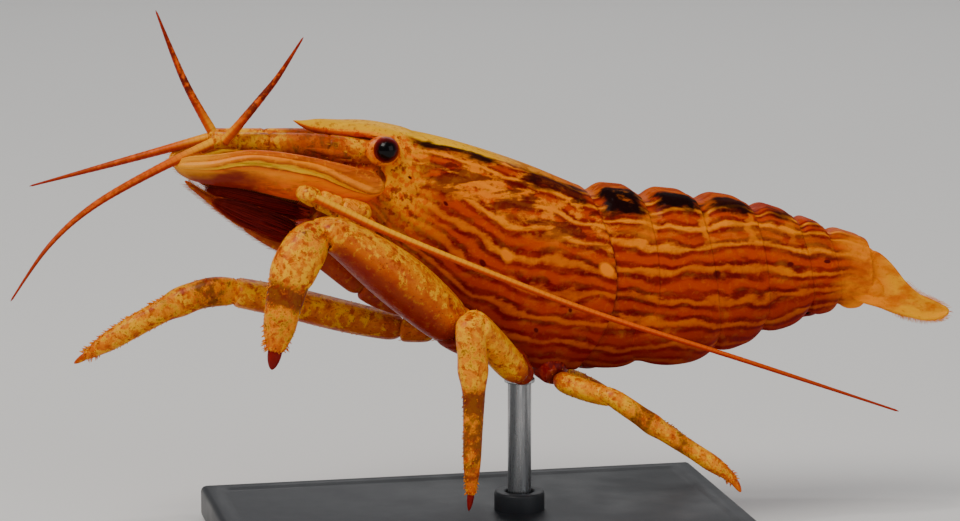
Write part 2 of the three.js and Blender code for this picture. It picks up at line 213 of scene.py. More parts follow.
def turnFacesOut(piece):
    pick(piece)
    bpy.ops.object.mode_set(mode="EDIT")
    bpy.ops.mesh.select_all(action="SELECT")
    bpy.ops.mesh.remove_doubles(threshold=1e-6)
    bpy.ops.mesh.normals_make_consistent(inside=False)
    bpy.ops.object.mode_set(mode="OBJECT")


def handOver(piece, slotName, material, *nodes):
    piece.data.materials.clear()
    piece.data.materials.append(material)
    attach(piece, "root")
    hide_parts(*nodes)


def handBristles(name, strands, *nodes, rings=2):
    handOver(strandMesh(name, strands, rings), "brush", finishes["bristleHair"], *nodes)


def sideways(tangent, across):
    across = Vector(across)
    wide = (across - tangent * tangent.dot(across)).normalized()
    return wide, tangent.cross(wide)


# An oval tube along part of a route. Widths and depths are half sizes in millimetres, spread evenly. The
# rings crowd to both ends, which are rounded over the given shares of the length. The mark is the shares of
# brown, gold and red, or a function that gives them for a place.
def limbTube(name, route, widths, depths=None, across=(0, 0, 1), span=(0, 1), sideCount=14, rings=14,
             ends=(0.12, 0.12), mark=(0, 0, 0), ripple=None, squareness=1.0):
    depths = depths or widths
    mesh = blankTube(sideCount, rings)
    spots, marks = [], []
    for vertex in mesh.vertices:
        ring = round(vertex.co.z)
        even = ring / rings
        share = 0.5 - 0.5 * math.cos(math.pi * even) if ends[0] or ends[1] else even
        centre, tangent = route(blendOf(*span, share))
        wide, deep = sideways(tangent, across)
        angle = math.atan2(vertex.co.y, vertex.co.x)
        size = 1
        for reach, away in ((ends[0], share), (ends[1], 1 - share)):
            if reach and away < reach:
                size *= math.sqrt(max(1 - (1 - away / reach) ** 2, 0.02))
        if ripple:
            size *= ripple(share, angle, ring)
        c, s = math.cos(angle), math.sin(angle)
        c = math.copysign(abs(c) ** squareness, c)
        s = math.copysign(abs(s) ** squareness, s)
        out, up = c * size * smoothRow(widths, share), s * size * smoothRow(depths, share)
        vertex.co = (centre + wide * out + deep * up) * mm
        spots.append((share * route.length * (span[1] - span[0]) / 10, angle / (2 * math.pi)))
        marks.append(mark(share, angle) if callable(mark) else mark)
    addMap(mesh, "limbMap", spots)
    addMarks(mesh, marks)
    return showPiece(name, mesh)


def fineTube(*about, **more):
    return finishMesh(limbTube(*about, **more))


def mapAsShell(piece, spotFor):      # spotFor takes the place along the body, in centimetres, and the turn
    layer = piece.data.uv_layers["limbMap"]
    layer.name = "shellMap"
    for loop in piece.data.loops:
        place = piece.data.vertices[loop.vertex_index].co.y / mm / 10
        layer.data[loop.index].uv = spotFor(place, layer.data[loop.index].uv.y)


# Thin spines, bristles and hairs: three-sided, tapered and bent, all in one mesh
def strandMesh(name, strands, rings):
    mesh = bpy.data.meshes.new(name)
    work = bmesh.new()
    layer = work.loops.layers.uv.new("strandMap")
    marks = work.verts.layers.float_color.new("marks")
    for number, (root, tip, bend, radius, mark) in enumerate(strands):
        root, tip, bend = Vector(root), Vector(tip), Vector(bend)
        run = tip - root
        along = run.normalized()
        wide, deep = sideways(along, (0.31, 0.17, 0.93) if abs(along.z) < 0.9 else (1, 0, 0))
        rows = []
        for ring in range(rings):
            t = ring / rings
            centre = root + run * t + bend * (4 * t * (1 - t))
            size = radius * (1 - t) ** 0.7
            row = []
            for corner in range(3):
                angle = corner * 2 * math.pi / 3
                out = wide * math.cos(angle) + deep * math.sin(angle)
                vertex = work.verts.new((centre + out * size) * mm)
                vertex[marks] = (*mark, 1)
                row.append(vertex)
            rows.append((row, t))
        point = work.verts.new(tip * mm)
        point[marks] = (*mark, 1)
        tone = (number * 0.618) % 1      # neighbours get clearly different tones
        faces = [(work.faces.new(rows[0][0][::-1]), 0)]
        for (low, t), (high, after) in zip(rows, rows[1:]):
            faces += [(work.faces.new((low[i], low[i - 2], high[i - 2], high[i])), t) for i in range(3)]
        faces += [(work.faces.new((rows[-1][0][i], rows[-1][0][i - 2], point)), 1) for i in range(3)]
        for face, t in faces:
            for loop in face.loops:
                loop[layer].uv = (tone, t)
    bmesh.ops.recalc_face_normals(work, faces=work.faces)
    work.to_mesh(mesh)
    work.free()
    for polygon in mesh.polygons:
        polygon.use_smooth = True
    return showPiece(name, mesh)


# small tools for materials

def paint(red, green, blue):         # a colour as seen on a screen, as shader values
    return tuple((part / 255) ** 2.2 for part in (red, green, blue)) + (1,)


bench = {}                           # the material in hand: its node tree and its shader


def newMaterial(name, **finish):
    material = bpy.data.materials.new(name)
    material.use_nodes = True
    bench["tree"] = material.node_tree
    bench["shader"] = material.node_tree.nodes["Principled BSDF"]
    for socket, value in finish.items():
        bench["shader"].inputs[socket.replace("_", " ")].default_value = value
    return material


def put(kind, inputs=None, out=0, **settings):       # adds a node, links or sets its inputs, gives one output
    step = bench["tree"].nodes.new("ShaderNode" + kind)
    for key, value in settings.items():
        setattr(step, key, value)
    for place, value in (inputs or {}).items():
        if isinstance(value, bpy.types.NodeSocket):
            bench["tree"].links.new(value, step.inputs[place])
        else:
            step.inputs[place].default_value = value
    return step.outputs[out]


def calc(operation, a, b=0.0, c=0.0):
    return put("Math", {0: a, 1: b, 2: c}, operation=operation)


def times(a, b):
    return calc("MULTIPLY", a, b)


def plus(a, b):
    return calc("ADD", a, b)


def minus(a, b):
    return calc("SUBTRACT", a, b)


def timesPlus(a, share, b):          # a times its share, plus b
    return calc("MULTIPLY_ADD", a, share, b)


def fade(value, low, high, bottom=0.0, top=1.0):
    return put("MapRange", {0: value, 1: low, 2: high, 3: bottom, 4: top}, interpolation_type="SMOOTHSTEP")


def hump(value, start, full, empty, end):            # rises from start to full, falls from empty to end
    return times(fade(value, start, full), fade(value, empty, end, 1.0, 0.0))


def mixed(share, under, over):
    return put("Mix", {0: share, 6: under, 7: over}, out=2, data_type="RGBA")


def ramp(value, stops):
    step = put("ValToRGB", {0: value}).node
    step.color_ramp.interpolation = "LINEAR"
    for i, (place, colour) in enumerate(stops):
        stop = step.color_ramp.elements[i] if i < 2 else step.color_ramp.elements.new(place)
        stop.position = place
        stop.color = colour
    return step.outputs[0]


def millimetres(stretch=(1, 1, 1)):  # the object's own place, in millimetres, stretched
    place = put("TexCoord", out=3)
    return put("VectorMath", {0: place, 1: tuple(part / mm for part in stretch)}, operation="MULTIPLY")


def noise(vector, scale=1.0, detail=3.0, rough=0.55, twist=0.0):
    return put("TexNoise", {"Vector": vector, "Scale": scale, "Detail": detail, "Roughness": rough,
                            "Distortion": twist})


def cells(vector, scale, feature):
    return put("TexVoronoi", {"Vector": vector, "Scale": scale}, feature=feature)


def mapParts(mapName):               # both parts of a UV map
    split = put("SeparateXYZ", {0: put("UVMap", uv_map=mapName)}).node
    return split.outputs[0], split.outputs[1]


def markParts():                     # the brown, gold and red shares
    split = put("SeparateColor", {0: put("Attribute", attribute_name="marks")}).node
    return split.outputs[0], split.outputs[1], split.outputs[2]


def relief(height, strength, depth):
    bumped = put("Bump", {"Height": height, "Strength": strength, "Distance": depth * mm})
    bench["tree"].links.new(bumped, bench["shader"].inputs["Normal"])


def feed(**sockets):
    for name, value in sockets.items():
        bench["tree"].links.new(value, bench["shader"].inputs[name.replace("_", " ")])


# materials of the shell

shellPattern = {
    "stripes": 9.35, "rearStripes": 6.6, "straight": 0.427, "wander": 1.5, "quiver": 0.5,
    "ochre": paint(224, 106, 0), "paleOchre": paint(250, 138, 0), "rust": paint(160, 40, 0),
    "amber": paint(202, 68, 0), "red": paint(134, 14, 0), "dark": paint(92, 3, 0), "black": paint(30, 0, 0),
    "gold": paint(252, 134, 0),
    "backFront": paint(255, 184, 0), "backMiddle": paint(212, 102, 0), "backRear": paint(186, 66, 0),
}

# dark patches under the pale line of the back: start, end, strength, and how far down the flank each reaches
backPatches = [(-9.0, 1.5, 0.95, 0.175), (4, 12, 0.8, 0.2), (13.6, 19.0, 1, 0.27), (20.4, 26.0, 1, 0.215),
               (27.4, 32.4, 0.95, 0.21), (34.2, 38.0, 0.75, 0.19), (39.6, 41.4, 0.5, 0.17)]
# golden bars on the upper flank, beside the rings' rear edges: place along the body, and strength
seamBars = [(19.2, 0.35), (25.9, 0.65), (31.8, 0.55), (37.0, 0.35)]
# round spots: place along the body, place down the flank, size, and 1 for dark or 0 for pale
flankSpots = [(-5.4, 0.47, 0.30, 1), (13.6, 0.51, 0.95, 0), (27.2, 0.55, 0.62, 1), (36.6, 0.53, 0.5, 1),
              (41.4, 0.50, 0.45, 1), (1.6, 0.56, 0.8, 0), (-1.2, 0.63, 0.4, 1), (5.2, 0.8, 0.3, 1),
              (9.2, 0.7, 0.3, 1), (-13.1, 0.37, 0.42, 1), (-12.0, 0.38, 0.34, 1), (-9.4, 0.42, 0.26, 1)]


def stripedShell():
    material = newMaterial("stripedShell", Coat_Weight=0.03, Coat_Roughness=0.2, Specular_IOR_Level=0.07,
                           Subsurface_Weight=0.05, Subsurface_Scale=0.001)
    look = shellPattern
    along, down = mapParts("shellMap")
    along = times(along, 10.0)
    place = millimetres()
    slow = minus(noise(millimetres((0.13, 0.11, 0.13)), detail=2), 0.5)
    fast = minus(noise(millimetres((0.7, 0.3, 0.7)), detail=3), 0.5)
    blot = noise(millimetres((0.42, 0.2, 0.42)), detail=5, rough=0.62)
    patch = noise(millimetres((0.6, 0.16, 0.6)), detail=4, rough=0.55, twist=0.3)
    speck = noise(place, 1.5, detail=4, rough=0.65)
    grain = minus(speck, 0.5)

    count = fade(along, 16.0, 44.0, look["stripes"], look["rearStripes"])
    phase = times(minus(down, look["straight"]), count)
    phase = timesPlus(slow, look["wander"], phase)
    phase = timesPlus(fast, look["quiver"], phase)
    wave = calc("COSINE", times(phase, 2 * math.pi))
    wave = timesPlus(grain, 0.55, timesPlus(fast, 0.7, wave))

    # red-brown ground, lighter midway between the stripes and darker beside them
    ground = mixed(fade(blot, 0.36, 0.62), look["rust"], look["red"])
    ground = mixed(fade(wave, -1.0, -0.3, 0.75, 0.0), ground, look["amber"])
    ground = mixed(fade(speck, 0.52, 0.7, 0.0, 0.4), ground, look["ochre"])
    ground = mixed(fade(down, 0.5, 0.85, 0.0, 0.5), ground, look["red"])
    rim = times(hump(wave, -0.7, 0.0, 0.3, 0.75), fade(blot, 0.34, 0.62, 0.1, 0.72))
    colour = mixed(rim, ground, look["dark"])
    bright = timesPlus(slow, 0.6, timesPlus(fast, 0.25, down))
    pale = mixed(fade(bright, 0.36, 0.68), look["paleOchre"], paint(204, 90, 0))
    colour = mixed(times(fade(wave, 0.5, 1.1), fade(blot, 0.56, 0.7, 1.0, 0.45)), colour, pale)

    # golden and red mottling over the upper flank, and freckles behind the eye
    upper = times(fade(down, 0.36, 0.52, 1.0, 0.0), fade(along, 12.0, 18.0, 1.0, 0.3))
    mottle = fade(timesPlus(grain, 0.3, blot), 0.47, 0.6)
    colour = mixed(times(mottle, times(upper, 0.85)), colour, look["gold"])
    reds = fade(timesPlus(grain, 0.2, patch), 0.51, 0.59)
    colour = mixed(times(reds, times(upper, 0.85)), colour, look["dark"])
    front = times(fade(along, -11.5, -5.0, 1.0, 0.0), fade(down, 0.5, 0.72, 1.0, 0.3))
    freckled = mixed(fade(speck, 0.46, 0.6), paint(255, 162, 0), paint(230, 98, 0))
    freckled = mixed(fade(noise(place, 0.9, detail=3), 0.54, 0.63, 0.0, 0.85), freckled, look["red"])
    colour = mixed(timesPlus(fast, 0.9, front), colour, freckled)

    lip = times(fade(along, -12.8, -14.4), fade(timesPlus(fast, 0.2, down), 0.2, 0.3, 0.0, 0.8))
    colour = mixed(lip, colour, paint(212, 64, 0))
    for y, amount in seamBars:
        bar = times(hump(down, 0.17, 0.23, 0.36, 0.44),
                    hump(timesPlus(fast, 5.0, along), y - 1.0, y - 0.2, y + 0.4, y + 1.0))
        colour = mixed(times(bar, amount), colour, look["gold"])

    # darker and redder towards the belly
    colour = mixed(fade(down, 0.72, 1.02, 0.0, 0.75), colour, mixed(speck, look["dark"], look["red"]))

    # dark patches beside the back
    strength = None
    ragged = timesPlus(fast, 0.2, down)
    shifted = timesPlus(fast, 4.0, along)
    for start, end, amount, reach in backPatches:
        part = times(hump(shifted, start - 0.8, start + 0.8, end - 1.4, end + 1.0),
                     fade(ragged, reach - 0.035, reach + 0.03, amount, 0.0))
        strength = part if strength is None else plus(strength, part)
    patches = times(strength, fade(blot, 0.58, 0.7, 1.0, 0.3))
    colour = mixed(patches, colour, look["black"])

    # the pale line of the back, and the golden tail
    back = ramp(fade(along, -22.0, 45.0), [
        (0.0, look["backFront"]), (0.2, look["backFront"]), (0.47, look["backMiddle"]),
        (1.0, look["backRear"])])
    back = mixed(fade(speck, 0.5, 0.7, 0.0, 0.6), back, look["rust"])
    streaky = times(fade(patch, 0.5, 0.6), fade(along, -4.0, 10.0, 0.15, 0.6))
    back = mixed(streaky, back, look["red"])
    edge = plus(timesPlus(fast, 0.09, down), fade(along, -12.0, 18.0, 0.0, 0.07))
    line = fade(edge, 0.12, 0.145, 1.0, 0.0)
    colour = mixed(line, colour, back)
    fan = mixed(fade(blot, 0.42, 0.6), paint(255, 176, 0), paint(230, 118, 0))
    tail = mixed(fade(blot, 0.42, 0.62), look["gold"], paint(204, 88, 0))
    tail = mixed(fade(timesPlus(fast, 3.0, along), 47.5, 52.0, 0.1, 0.9), tail, fan)
    tail = mixed(fade(speck, 0.54, 0.7, 0.0, 0.45), tail, paint(190, 78, 0))
    colour = mixed(fade(timesPlus(fast, 9.0, along), 40.5, 47.5, 0.0, 0.92), colour, tail)

    for y, share, size, isDark in flankSpots:
        across = times(minus(down, share), 28.0)
        run = minus(along, y)
        far = calc("SQRT", plus(times(across, across), times(run, run)))
        spot = fade(timesPlus(fast, size, far), size * 0.6, size * 1.15, 1.0, 0.0)
        colour = mixed(spot, colour, look["dark"] if isDark else look["gold"])

    rough = timesPlus(patches, 0.35, fade(speck, 0.3, 0.7, 0.46, 0.6))
    feed(Base_Color=colour, Roughness=rough)
    pits = cells(place, 2.6, feature="F1")
    height = timesPlus(pits, 0.35, timesPlus(wave, 0.05, speck))
    relief(height, 0.3, 0.12)
    return material


# materials of limbs, feelers, bristles, soft parts and eyes

def mottledLimb():
    material = newMaterial("mottledLimb", Coat_Weight=0.05, Coat_Roughness=0.2, Specular_IOR_Level=0.13,
                           Subsurface_Weight=0.05, Subsurface_Scale=0.0008)
    brown, gold, red = markParts()
    broad = noise(millimetres(), 0.5, detail=4, rough=0.6)
    flecks = noise(millimetres(), 1.05, detail=5, rough=0.68)
    clouds = noise(millimetres((1.4, 1.0, 1.0)), 0.6, detail=5, rough=0.62, twist=0.5)
    fine = noise(millimetres(), 2.6, detail=3, rough=0.6)
    colour = mixed(fade(broad, 0.4, 0.6), paint(222, 104, 0), paint(200, 76, 0))
    blotches = ramp(clouds, [(0.36, paint(168, 58, 0)), (0.45, paint(218, 108, 0)),
                             (0.55, paint(248, 146, 0)), (0.66, paint(184, 70, 0))])
    colour = mixed(gold, colour, blotches)
    pale = fade(timesPlus(gold, 0.08, flecks), 0.54, 0.66)
    colour = mixed(pale, colour, paint(255, 176, 0))
    ragged = timesPlus(minus(flecks, 0.5), 1.6, brown)
    colour = mixed(fade(ragged, 0.36, 0.7, 0.0, 0.88), colour, paint(112, 36, 0))
    colour = mixed(fade(fine, 0.6, 0.68, 0.0, 0.7), colour, paint(120, 36, 0))
    colour = mixed(red, colour, mixed(flecks, paint(88, 0, 0), paint(150, 16, 0)))
    feed(Base_Color=colour, Roughness=fade(fine, 0.3, 0.7, 0.3, 0.48))
    relief(timesPlus(flecks, 1.2, fine), 0.5, 0.14)
    return material


def ringedFeeler():
    material = newMaterial("ringedFeeler", Coat_Weight=0.05, Coat_Roughness=0.25, Specular_IOR_Level=0.13)
    run, around = mapParts("limbMap")
    brown, gold, red = markParts()
    fine = noise(millimetres(), 1.6, detail=3)
    stripe = fade(calc("ABSOLUTE", around), 0.2, 0.3)
    colour = mixed(stripe, paint(230, 96, 0), paint(186, 50, 0))
    colour = mixed(gold, colour, mixed(stripe, paint(255, 174, 16), paint(226, 92, 0)))
    joints = calc("SINE", times(run, 2 * math.pi * 10 / 0.7))
    colour = mixed(fade(joints, 0.3, 1.0, 0.0, 0.14), colour, paint(120, 22, 0))
    colour = mixed(times(brown, fade(fine, 0.38, 0.58)), colour, paint(92, 14, 0))
    colour = mixed(times(red, 0.8), colour, paint(148, 28, 0))
    feed(Base_Color=colour, Roughness=fade(fine, 0.3, 0.7, 0.36, 0.52))
    relief(timesPlus(joints, 0.4, fine), 0.25, 0.05)
    return material


def bristleHair():
    material = newMaterial("bristleHair", Coat_Weight=0.05, Coat_Roughness=0.3, Specular_IOR_Level=0.12)
    tone, tip = mapParts("strandMap")
    gold = markParts()[1]
    colour = ramp(tone, [(0.0, paint(44, 0, 0)), (0.36, paint(108, 4, 0)), (0.68, paint(184, 34, 0)),
                         (1.0, paint(240, 92, 0))])
    colour = mixed(times(tip, 0.2), colour, paint(170, 40, 0))
    colour = mixed(gold, colour, mixed(tone, paint(255, 160, 0), paint(220, 96, 0)))
    fine = noise(millimetres(), 3.0, detail=2)
    feed(Base_Color=colour, Roughness=fade(fine, 0.3, 0.7, 0.45, 0.62))
    relief(fine, 0.2, 0.03)
    return material


def softSkin():
    material = newMaterial("softSkin", Coat_Weight=0.05, Coat_Roughness=0.2, Specular_IOR_Level=0.13,
                           Subsurface_Weight=0.12, Subsurface_Scale=0.001)
    broad = noise(millimetres(), 0.35, detail=4)
    fine = noise(millimetres(), 1.8, detail=4, rough=0.6)
    along = put("SeparateXYZ", {0: millimetres()}, out=1)
    head = fade(along, -11.0, -8.0, 1.0, 0.0)
    base = mixed(head, paint(130, 16, 0), paint(240, 112, 0))
    colour = mixed(fade(broad, 0.42, 0.6), base, mixed(head, paint(100, 6, 0), paint(190, 56, 0)))
    colour = mixed(fade(fine, 0.5, 0.64, 0.0, 0.8), colour,
                   mixed(head, paint(160, 40, 0), paint(255, 158, 0)))
    freckle = fade(noise(millimetres(), 1.5, detail=4, rough=0.6), 0.57, 0.65, 0.0, 0.85)
    colour = mixed(freckle, colour, paint(124, 8, 0))
    feed(Base_Color=colour, Roughness=fade(fine, 0.3, 0.7, 0.35, 0.5))
    relief(fine, 0.45, 0.15)
    return material


def scaleBlade():                    # the antennal scale: golden above its ridge, orange and streaked below
    material = newMaterial("scaleBlade", Coat_Weight=0.05, Coat_Roughness=0.18, Specular_IOR_Level=0.13,
                           Subsurface_Weight=0.08, Subsurface_Scale=0.0008)
    run, height = mapParts("shellMap")
    fast = minus(noise(millimetres((0.7, 0.35, 0.9)), detail=4), 0.5)
    speck = noise(millimetres(), 1.6, detail=4, rough=0.65)
    level = timesPlus(fast, 0.16, height)
    # the bright yellow band along the ridge is a painted highlight, and the thin dark line just below it is
    # painted shade
    colour = ramp(fade(level, -1.0, 1.0), [
        (0.0, paint(236, 80, 0)), (0.24, paint(255, 122, 0)), (0.5, paint(255, 144, 0)),
        (0.58, paint(240, 112, 0)),
        (0.62, paint(150, 56, 0)), (0.645, paint(255, 178, 0)), (0.71, paint(255, 206, 30)),
        (0.78, paint(255, 186, 0)),
        (0.81, paint(176, 78, 0)), (0.87, paint(250, 140, 0)), (1.0, paint(214, 96, 0))])
    streaks = noise(millimetres((0.9, 0.12, 1.4)), detail=4, rough=0.6)
    streaks = times(fade(streaks, 0.52, 0.62), fade(height, 0.1, 0.6, 0.45, 0.4))
    colour = mixed(streaks, colour, paint(128, 28, 0))
    colour = mixed(fade(speck, 0.52, 0.7, 0.0, 0.55), colour, paint(255, 156, 0))
    front = timesPlus(fast, 0.8, run)
    # painted shade: dark maroon over the lower front of the blade
    paintedShade = times(fade(front, -2.3, -3.0), fade(level, 0.2, -0.2))
    colour = mixed(times(paintedShade, 0.92), colour, paint(116, 6, 0))
    tip = timesPlus(level, -0.3, front)
    colour = mixed(fade(tip, -3.0, -3.7, 0.0, 0.85), colour, paint(246, 160, 30))
    feed(Base_Color=colour, Roughness=fade(speck, 0.3, 0.7, 0.3, 0.44))
    relief(timesPlus(streaks, 0.5, speck), 0.3, 0.1)
    return material


def darkEye():
    material = newMaterial("darkEye", Coat_Weight=0.3, Coat_Roughness=0.03, Roughness=0.3,
                           Specular_IOR_Level=0.04)
    run = mapParts("limbMap")[0]
    facets = cells(millimetres(), 7.0, feature="DISTANCE_TO_EDGE")
    mottle = noise(millimetres(), 1.4, detail=3)
    level = timesPlus(minus(mottle, 0.5), 0.3, run)
    colour = ramp(level, [(0.0, paint(8, 0, 0)), (0.42, paint(12, 0, 0)), (0.62, paint(84, 2, 0)),
                          (0.86, paint(140, 20, 0)), (1.0, paint(70, 6, 0))])
    feed(Base_Color=colour)
    relief(fade(facets, 0.0, 0.12), 0.12, 0.02)
    return material


def eyeRim():
    material = newMaterial("eyeRim", Coat_Weight=0.1, Coat_Roughness=0.12, Specular_IOR_Level=0.15,
                           Subsurface_Weight=0.1, Subsurface_Scale=0.0008)
    broad = noise(millimetres(), 0.8, detail=4)
    fine = noise(millimetres(), 2.4, detail=3)
    colour = mixed(fade(broad, 0.42, 0.6), paint(250, 138, 0), paint(228, 96, 0))
    colour = mixed(fade(fine, 0.53, 0.63, 0.0, 0.8), colour, paint(156, 30, 0))
    feed(Base_Color=colour, Roughness=fade(fine, 0.3, 0.7, 0.28, 0.42))
    relief(fine, 0.3, 0.08)
    return material


# materials of the stand

def satinBase():
    material = newMaterial("satinBase", Metallic=0.2)
    grain = noise(millimetres(), 2.2, detail=5, rough=0.7)
    wear = noise(millimetres(), 0.12, detail=4)
    colour = mixed(fade(wear, 0.35, 0.7), paint(36, 38, 42), paint(50, 52, 56))
    feed(Base_Color=colour, Roughness=fade(wear, 0.3, 0.7, 0.38, 0.52))
    relief(grain, 0.25, 0.06)
    return material


def brushedSteel():
    material = newMaterial("brushedSteel", Metallic=1.0)
    lines = noise(millimetres((6, 6, 0.25)), detail=4, rough=0.7)
    colour = mixed(fade(lines, 0.3, 0.7), paint(196, 198, 200), paint(160, 163, 167))
    feed(Base_Color=colour, Roughness=fade(lines, 0.3, 0.7, 0.22, 0.4))
    relief(lines, 0.15, 0.02)
    return material


finishes = {build.__name__: build() for build in (stripedShell, mottledLimb, ringedFeeler, bristleHair,
                                                  softSkin, scaleBlade, darkEye, eyeRim, satinBase,
                                                  brushedSteel)}
print("materials mixed")


# shell plates of the head, thorax and abdomen

body = {
    # place along the body, top, bottom and half width of the section there
    "carapace": [(-15.5, 50.9, 40.2, 3.4), (-11.5, 50.2, 34.8, 5.2), (-6, 49.1, 29.4, 6.6),
                 (0, 47.3, 24.2, 7.3), (6, 45.1, 21.8, 7.6), (12, 42.5, 21.6, 7.3), (17, 40.2, 21.8, 7.1)],
    "abdomen": [(8, 43.6, 21.5, 7.0), (15, 42.7, 21.3, 7.0), (22, 41.9, 21.3, 6.8), (27, 41.3, 21.9, 6.3),
                (31, 40.6, 23.2, 5.7), (36, 39.2, 24.8, 4.9), (42, 37.0, 26.5, 3.9), (48, 35.2, 26.9, 3.0)],
    # where each plate ends: on the back, at the lower edge, and how far the flank bows to the rear
    "borders": [(12.3, 8.6, 4.2), (18.9, 18.2, 1.6), (25.6, 28.2, 0.6), (32.4, 34.0, 0.8), (38.0, 39.8, 0.8),
                (41.8, 43.6, 0.6), (47.2, 47.2, 0.3)],
    "crowns": [1.25, 0.95, 0.75, 0.6, 0.5, 0.4],
    "frontCorner": 0.6, "rearCorner": 1.6, "tuck": 1.5, "wall": 0.34,
    # how far round the section the plates reach, how full the flanks are, and the height of the widest line
    "archEnd": math.radians(150), "fullness": 0.62, "archPart": 0.79, "middle": 0.48,
}
eye = {"centre": (5.6, -12.2, 48.3), "radius": 1.52, "notch": 1.78, "looks": (-0.12, 0.1),
       "cupHalves": (2.0, 1.72), "cupShift": (0, -0.36, -0.16), "cupReaches": (-1.7, -0.9, -0.1, 0.45)}

# the front edge of the carapace from the rostrum down past the eye, the spine below it and the scale
frontEdge = [(0.0, -9.7), (0.13, -9.7), (0.2, -10.9), (0.42, -13.6), (0.487, -12.1), (0.58, -12.4),
             (0.638, -14.1), (0.68, -15.3), (0.8, -15.6), (0.92, -15.4), (1.0, -14.2)]


def alongPairs(pairs, value):
    for (low, a), (high, b) in zip(pairs, pairs[1:]):
        if value <= high:
            return blendOf(a, b, easeStep(low, high, value))
    return pairs[-1][1]


def sectionAt(rows, y):              # top, bottom and half width of the section at this place
    i = 0
    while i < len(rows) - 2 and y > rows[i + 1][0]:
        i += 1
    near = [rows[min(max(k, 0), len(rows) - 1)] for k in (i - 1, i, i + 1, i + 2)]
    t = (y - near[1][0]) / (near[2][0] - near[1][0])
    return [curveAt(*(row[column] for row in near), t) for column in (1, 2, 3)]


# share runs from 0 on the back to 1 at the lower edge; drops push the surface in at the top, side and bottom
def archPoint(rows, y, share, drops=(0, 0, 0)):
    top, bottom, half = sectionAt(rows, y)
    top, bottom, half = top - drops[0], bottom + drops[2], half - drops[1]
    middle = blendOf(bottom, top, body["middle"])
    angle = share * body["archEnd"]
    x = half * math.sin(angle) ** body["fullness"]
    if angle < math.pi / 2:
        return x, middle + (top - middle) * math.cos(angle)
    return x, middle + (middle - bottom) * math.cos(angle) / abs(math.cos(body["archEnd"]))


def shareAt(rows, y, z):             # where the plain section has this height: stripes stay level
    top, bottom = sectionAt(rows, y)[:2]
    middle = blendOf(bottom, top, body["middle"])
    reach = top - middle if z > middle else (middle - bottom) / abs(math.cos(body["archEnd"]))
    return math.acos(min(max((z - middle) / reach, -1), 1)) / body["archEnd"]


def borderAt(number, share):
    back, edge, bow = body["borders"][number]
    around = share * body["archPart"] / 2
    down = (1 - math.cos(2 * math.pi * around)) / 2
    return blendOf(back, edge, down) + bow * math.sin(2 * math.pi * around) ** 2


def shellSheet(name, rows, across, along, spotFor):
    mesh = blankSheet(across, along)
    spots = []
    for vertex in mesh.vertices:
        side = 2 * vertex.co.x
        share = abs(side) ** 1.25
        y, drops = spotFor(share, vertex.co.y + 0.5)
        x, z = archPoint(rows, y, share, drops)
        vertex.co = Vector((math.copysign(x, side) if side else 0, y, z)) * mm
        level = blendOf(share, shareAt(rows, y, z), 0.85 * easeStep(0.1, 0.3, share)
                        * easeStep(1.0, 0.9, share))
        spots.append((y / 10, level))
    addMap(mesh, "shellMap", spots)
    return showPiece(name, mesh)


def carapaceSpot(share, t):
    front = alongPairs(frontEdge, share)
    z = archPoint(body["carapace"], eye["centre"][1], share)[1]
    above = z - eye["centre"][2]
    if abs(above) < eye["notch"]:                    # the round notch behind the eye
        front = max(front, eye["centre"][1] + math.sqrt(eye["notch"] ** 2 - above ** 2) - 0.15)
    y = blendOf(front, borderAt(0, share), t)
    out = 0.16 * bump(1, 0.03, t) + 0.14 * bump(0, 0.02, t) + 0.2 * bump(1, 0.03, share)     # raised edges
    neck = -5.2 - 5.5 * easeStep(0.15, 0.75, share)
    out -= 0.26 * bump(neck, 0.7, y) * easeStep(0.12, 0.25, share) * easeStep(0.95, 0.7, share)
    out -= 0.18 * bump(0.62 + 0.012 * (y - 2), 0.05, share) * easeStep(-8, -4, y) * easeStep(9, 4, y)
    out += 0.2 * bump(0.135, 0.04, share) * easeStep(-3, -9, y)       # beside the keel
    away = math.hypot(y - eye["centre"][1], above)
    out += 0.3 * bump(eye["notch"] + 0.15, 0.45, away) * easeStep(0.55, 0.45, share)          # the eye's rim
    dip = easeStep(0.93, 1.0, t) * 0.12              # the back's rear edge, tucked over the first ring
    return y, (-out + dip, -out, -0.5 * out)


def carapaceShell():
    piece = shellSheet("carapaceShell", body["carapace"], 120, 64, carapaceSpot)
    turnFacesOut(piece)
    return finishMesh(piece, wall=body["wall"], crease=0.35)


def ringSpot(ring):
    def spot(share, t):
        low = easeStep(0.6, 0.82, share)
        tuck = body["tuck"] + (1.2 * low if ring == 2 else 0)
        start, end = borderAt(ring - 1, share), borderAt(ring, share)
        y = blendOf(start - tuck, end, t)
        s = (y - start) / (end - start)
        crown = body["crowns"][ring - 1]
        ahead = body["crowns"][max(ring - 2, 0)] * 0.62
        top = blendOf(0, max(crown, ahead + 0.5), easeStep(0.42, 0.0, s))
        top += crown * 0.62 * easeStep(0.72, 1.0, s) ** 1.5
        side = 0.45 * easeStep(0.02, -0.12, s) + 0.05 * easeStep(0.2, 0.0, s)
        if ring == 2:
            side = blendOf(side, -0.34 + 0.28 * easeStep(0.0, -0.25, s) + 0.3 * easeStep(0.85, 1.0, s), low)
        if ring == 1:
            side += 0.25 * low * easeStep(0.4, 0.9, s)
        corner = body["frontCorner"] if s < 0.5 else body["rearCorner"]
        bottom = corner * min(abs(2 * s - 1) ** 2.6, 1.3) * easeStep(0.7, 1.0, share)
        groove = 0.1 * bump(0.14, 0.05, s) + 0.05 * bump(0.9, 0.04, s)
        hinge = 0.22 * bump(0.74, 0.06, share) * bump(0.1, 0.14, s)
        return y, (top + groove * easeStep(0.9, 0.5, share), side + 0.7 * groove + hinge, bottom)
    return spot


def abdomenRing(ring):
    piece = shellSheet(f"abdomenRing{ring}", body["abdomen"], 96, 26, ringSpot(ring))
    turnFacesOut(piece)
    return finishMesh(piece, wall=body["wall"], crease=0.75)


# the rostrum: a flat keeled blade that runs on from the back of the carapace

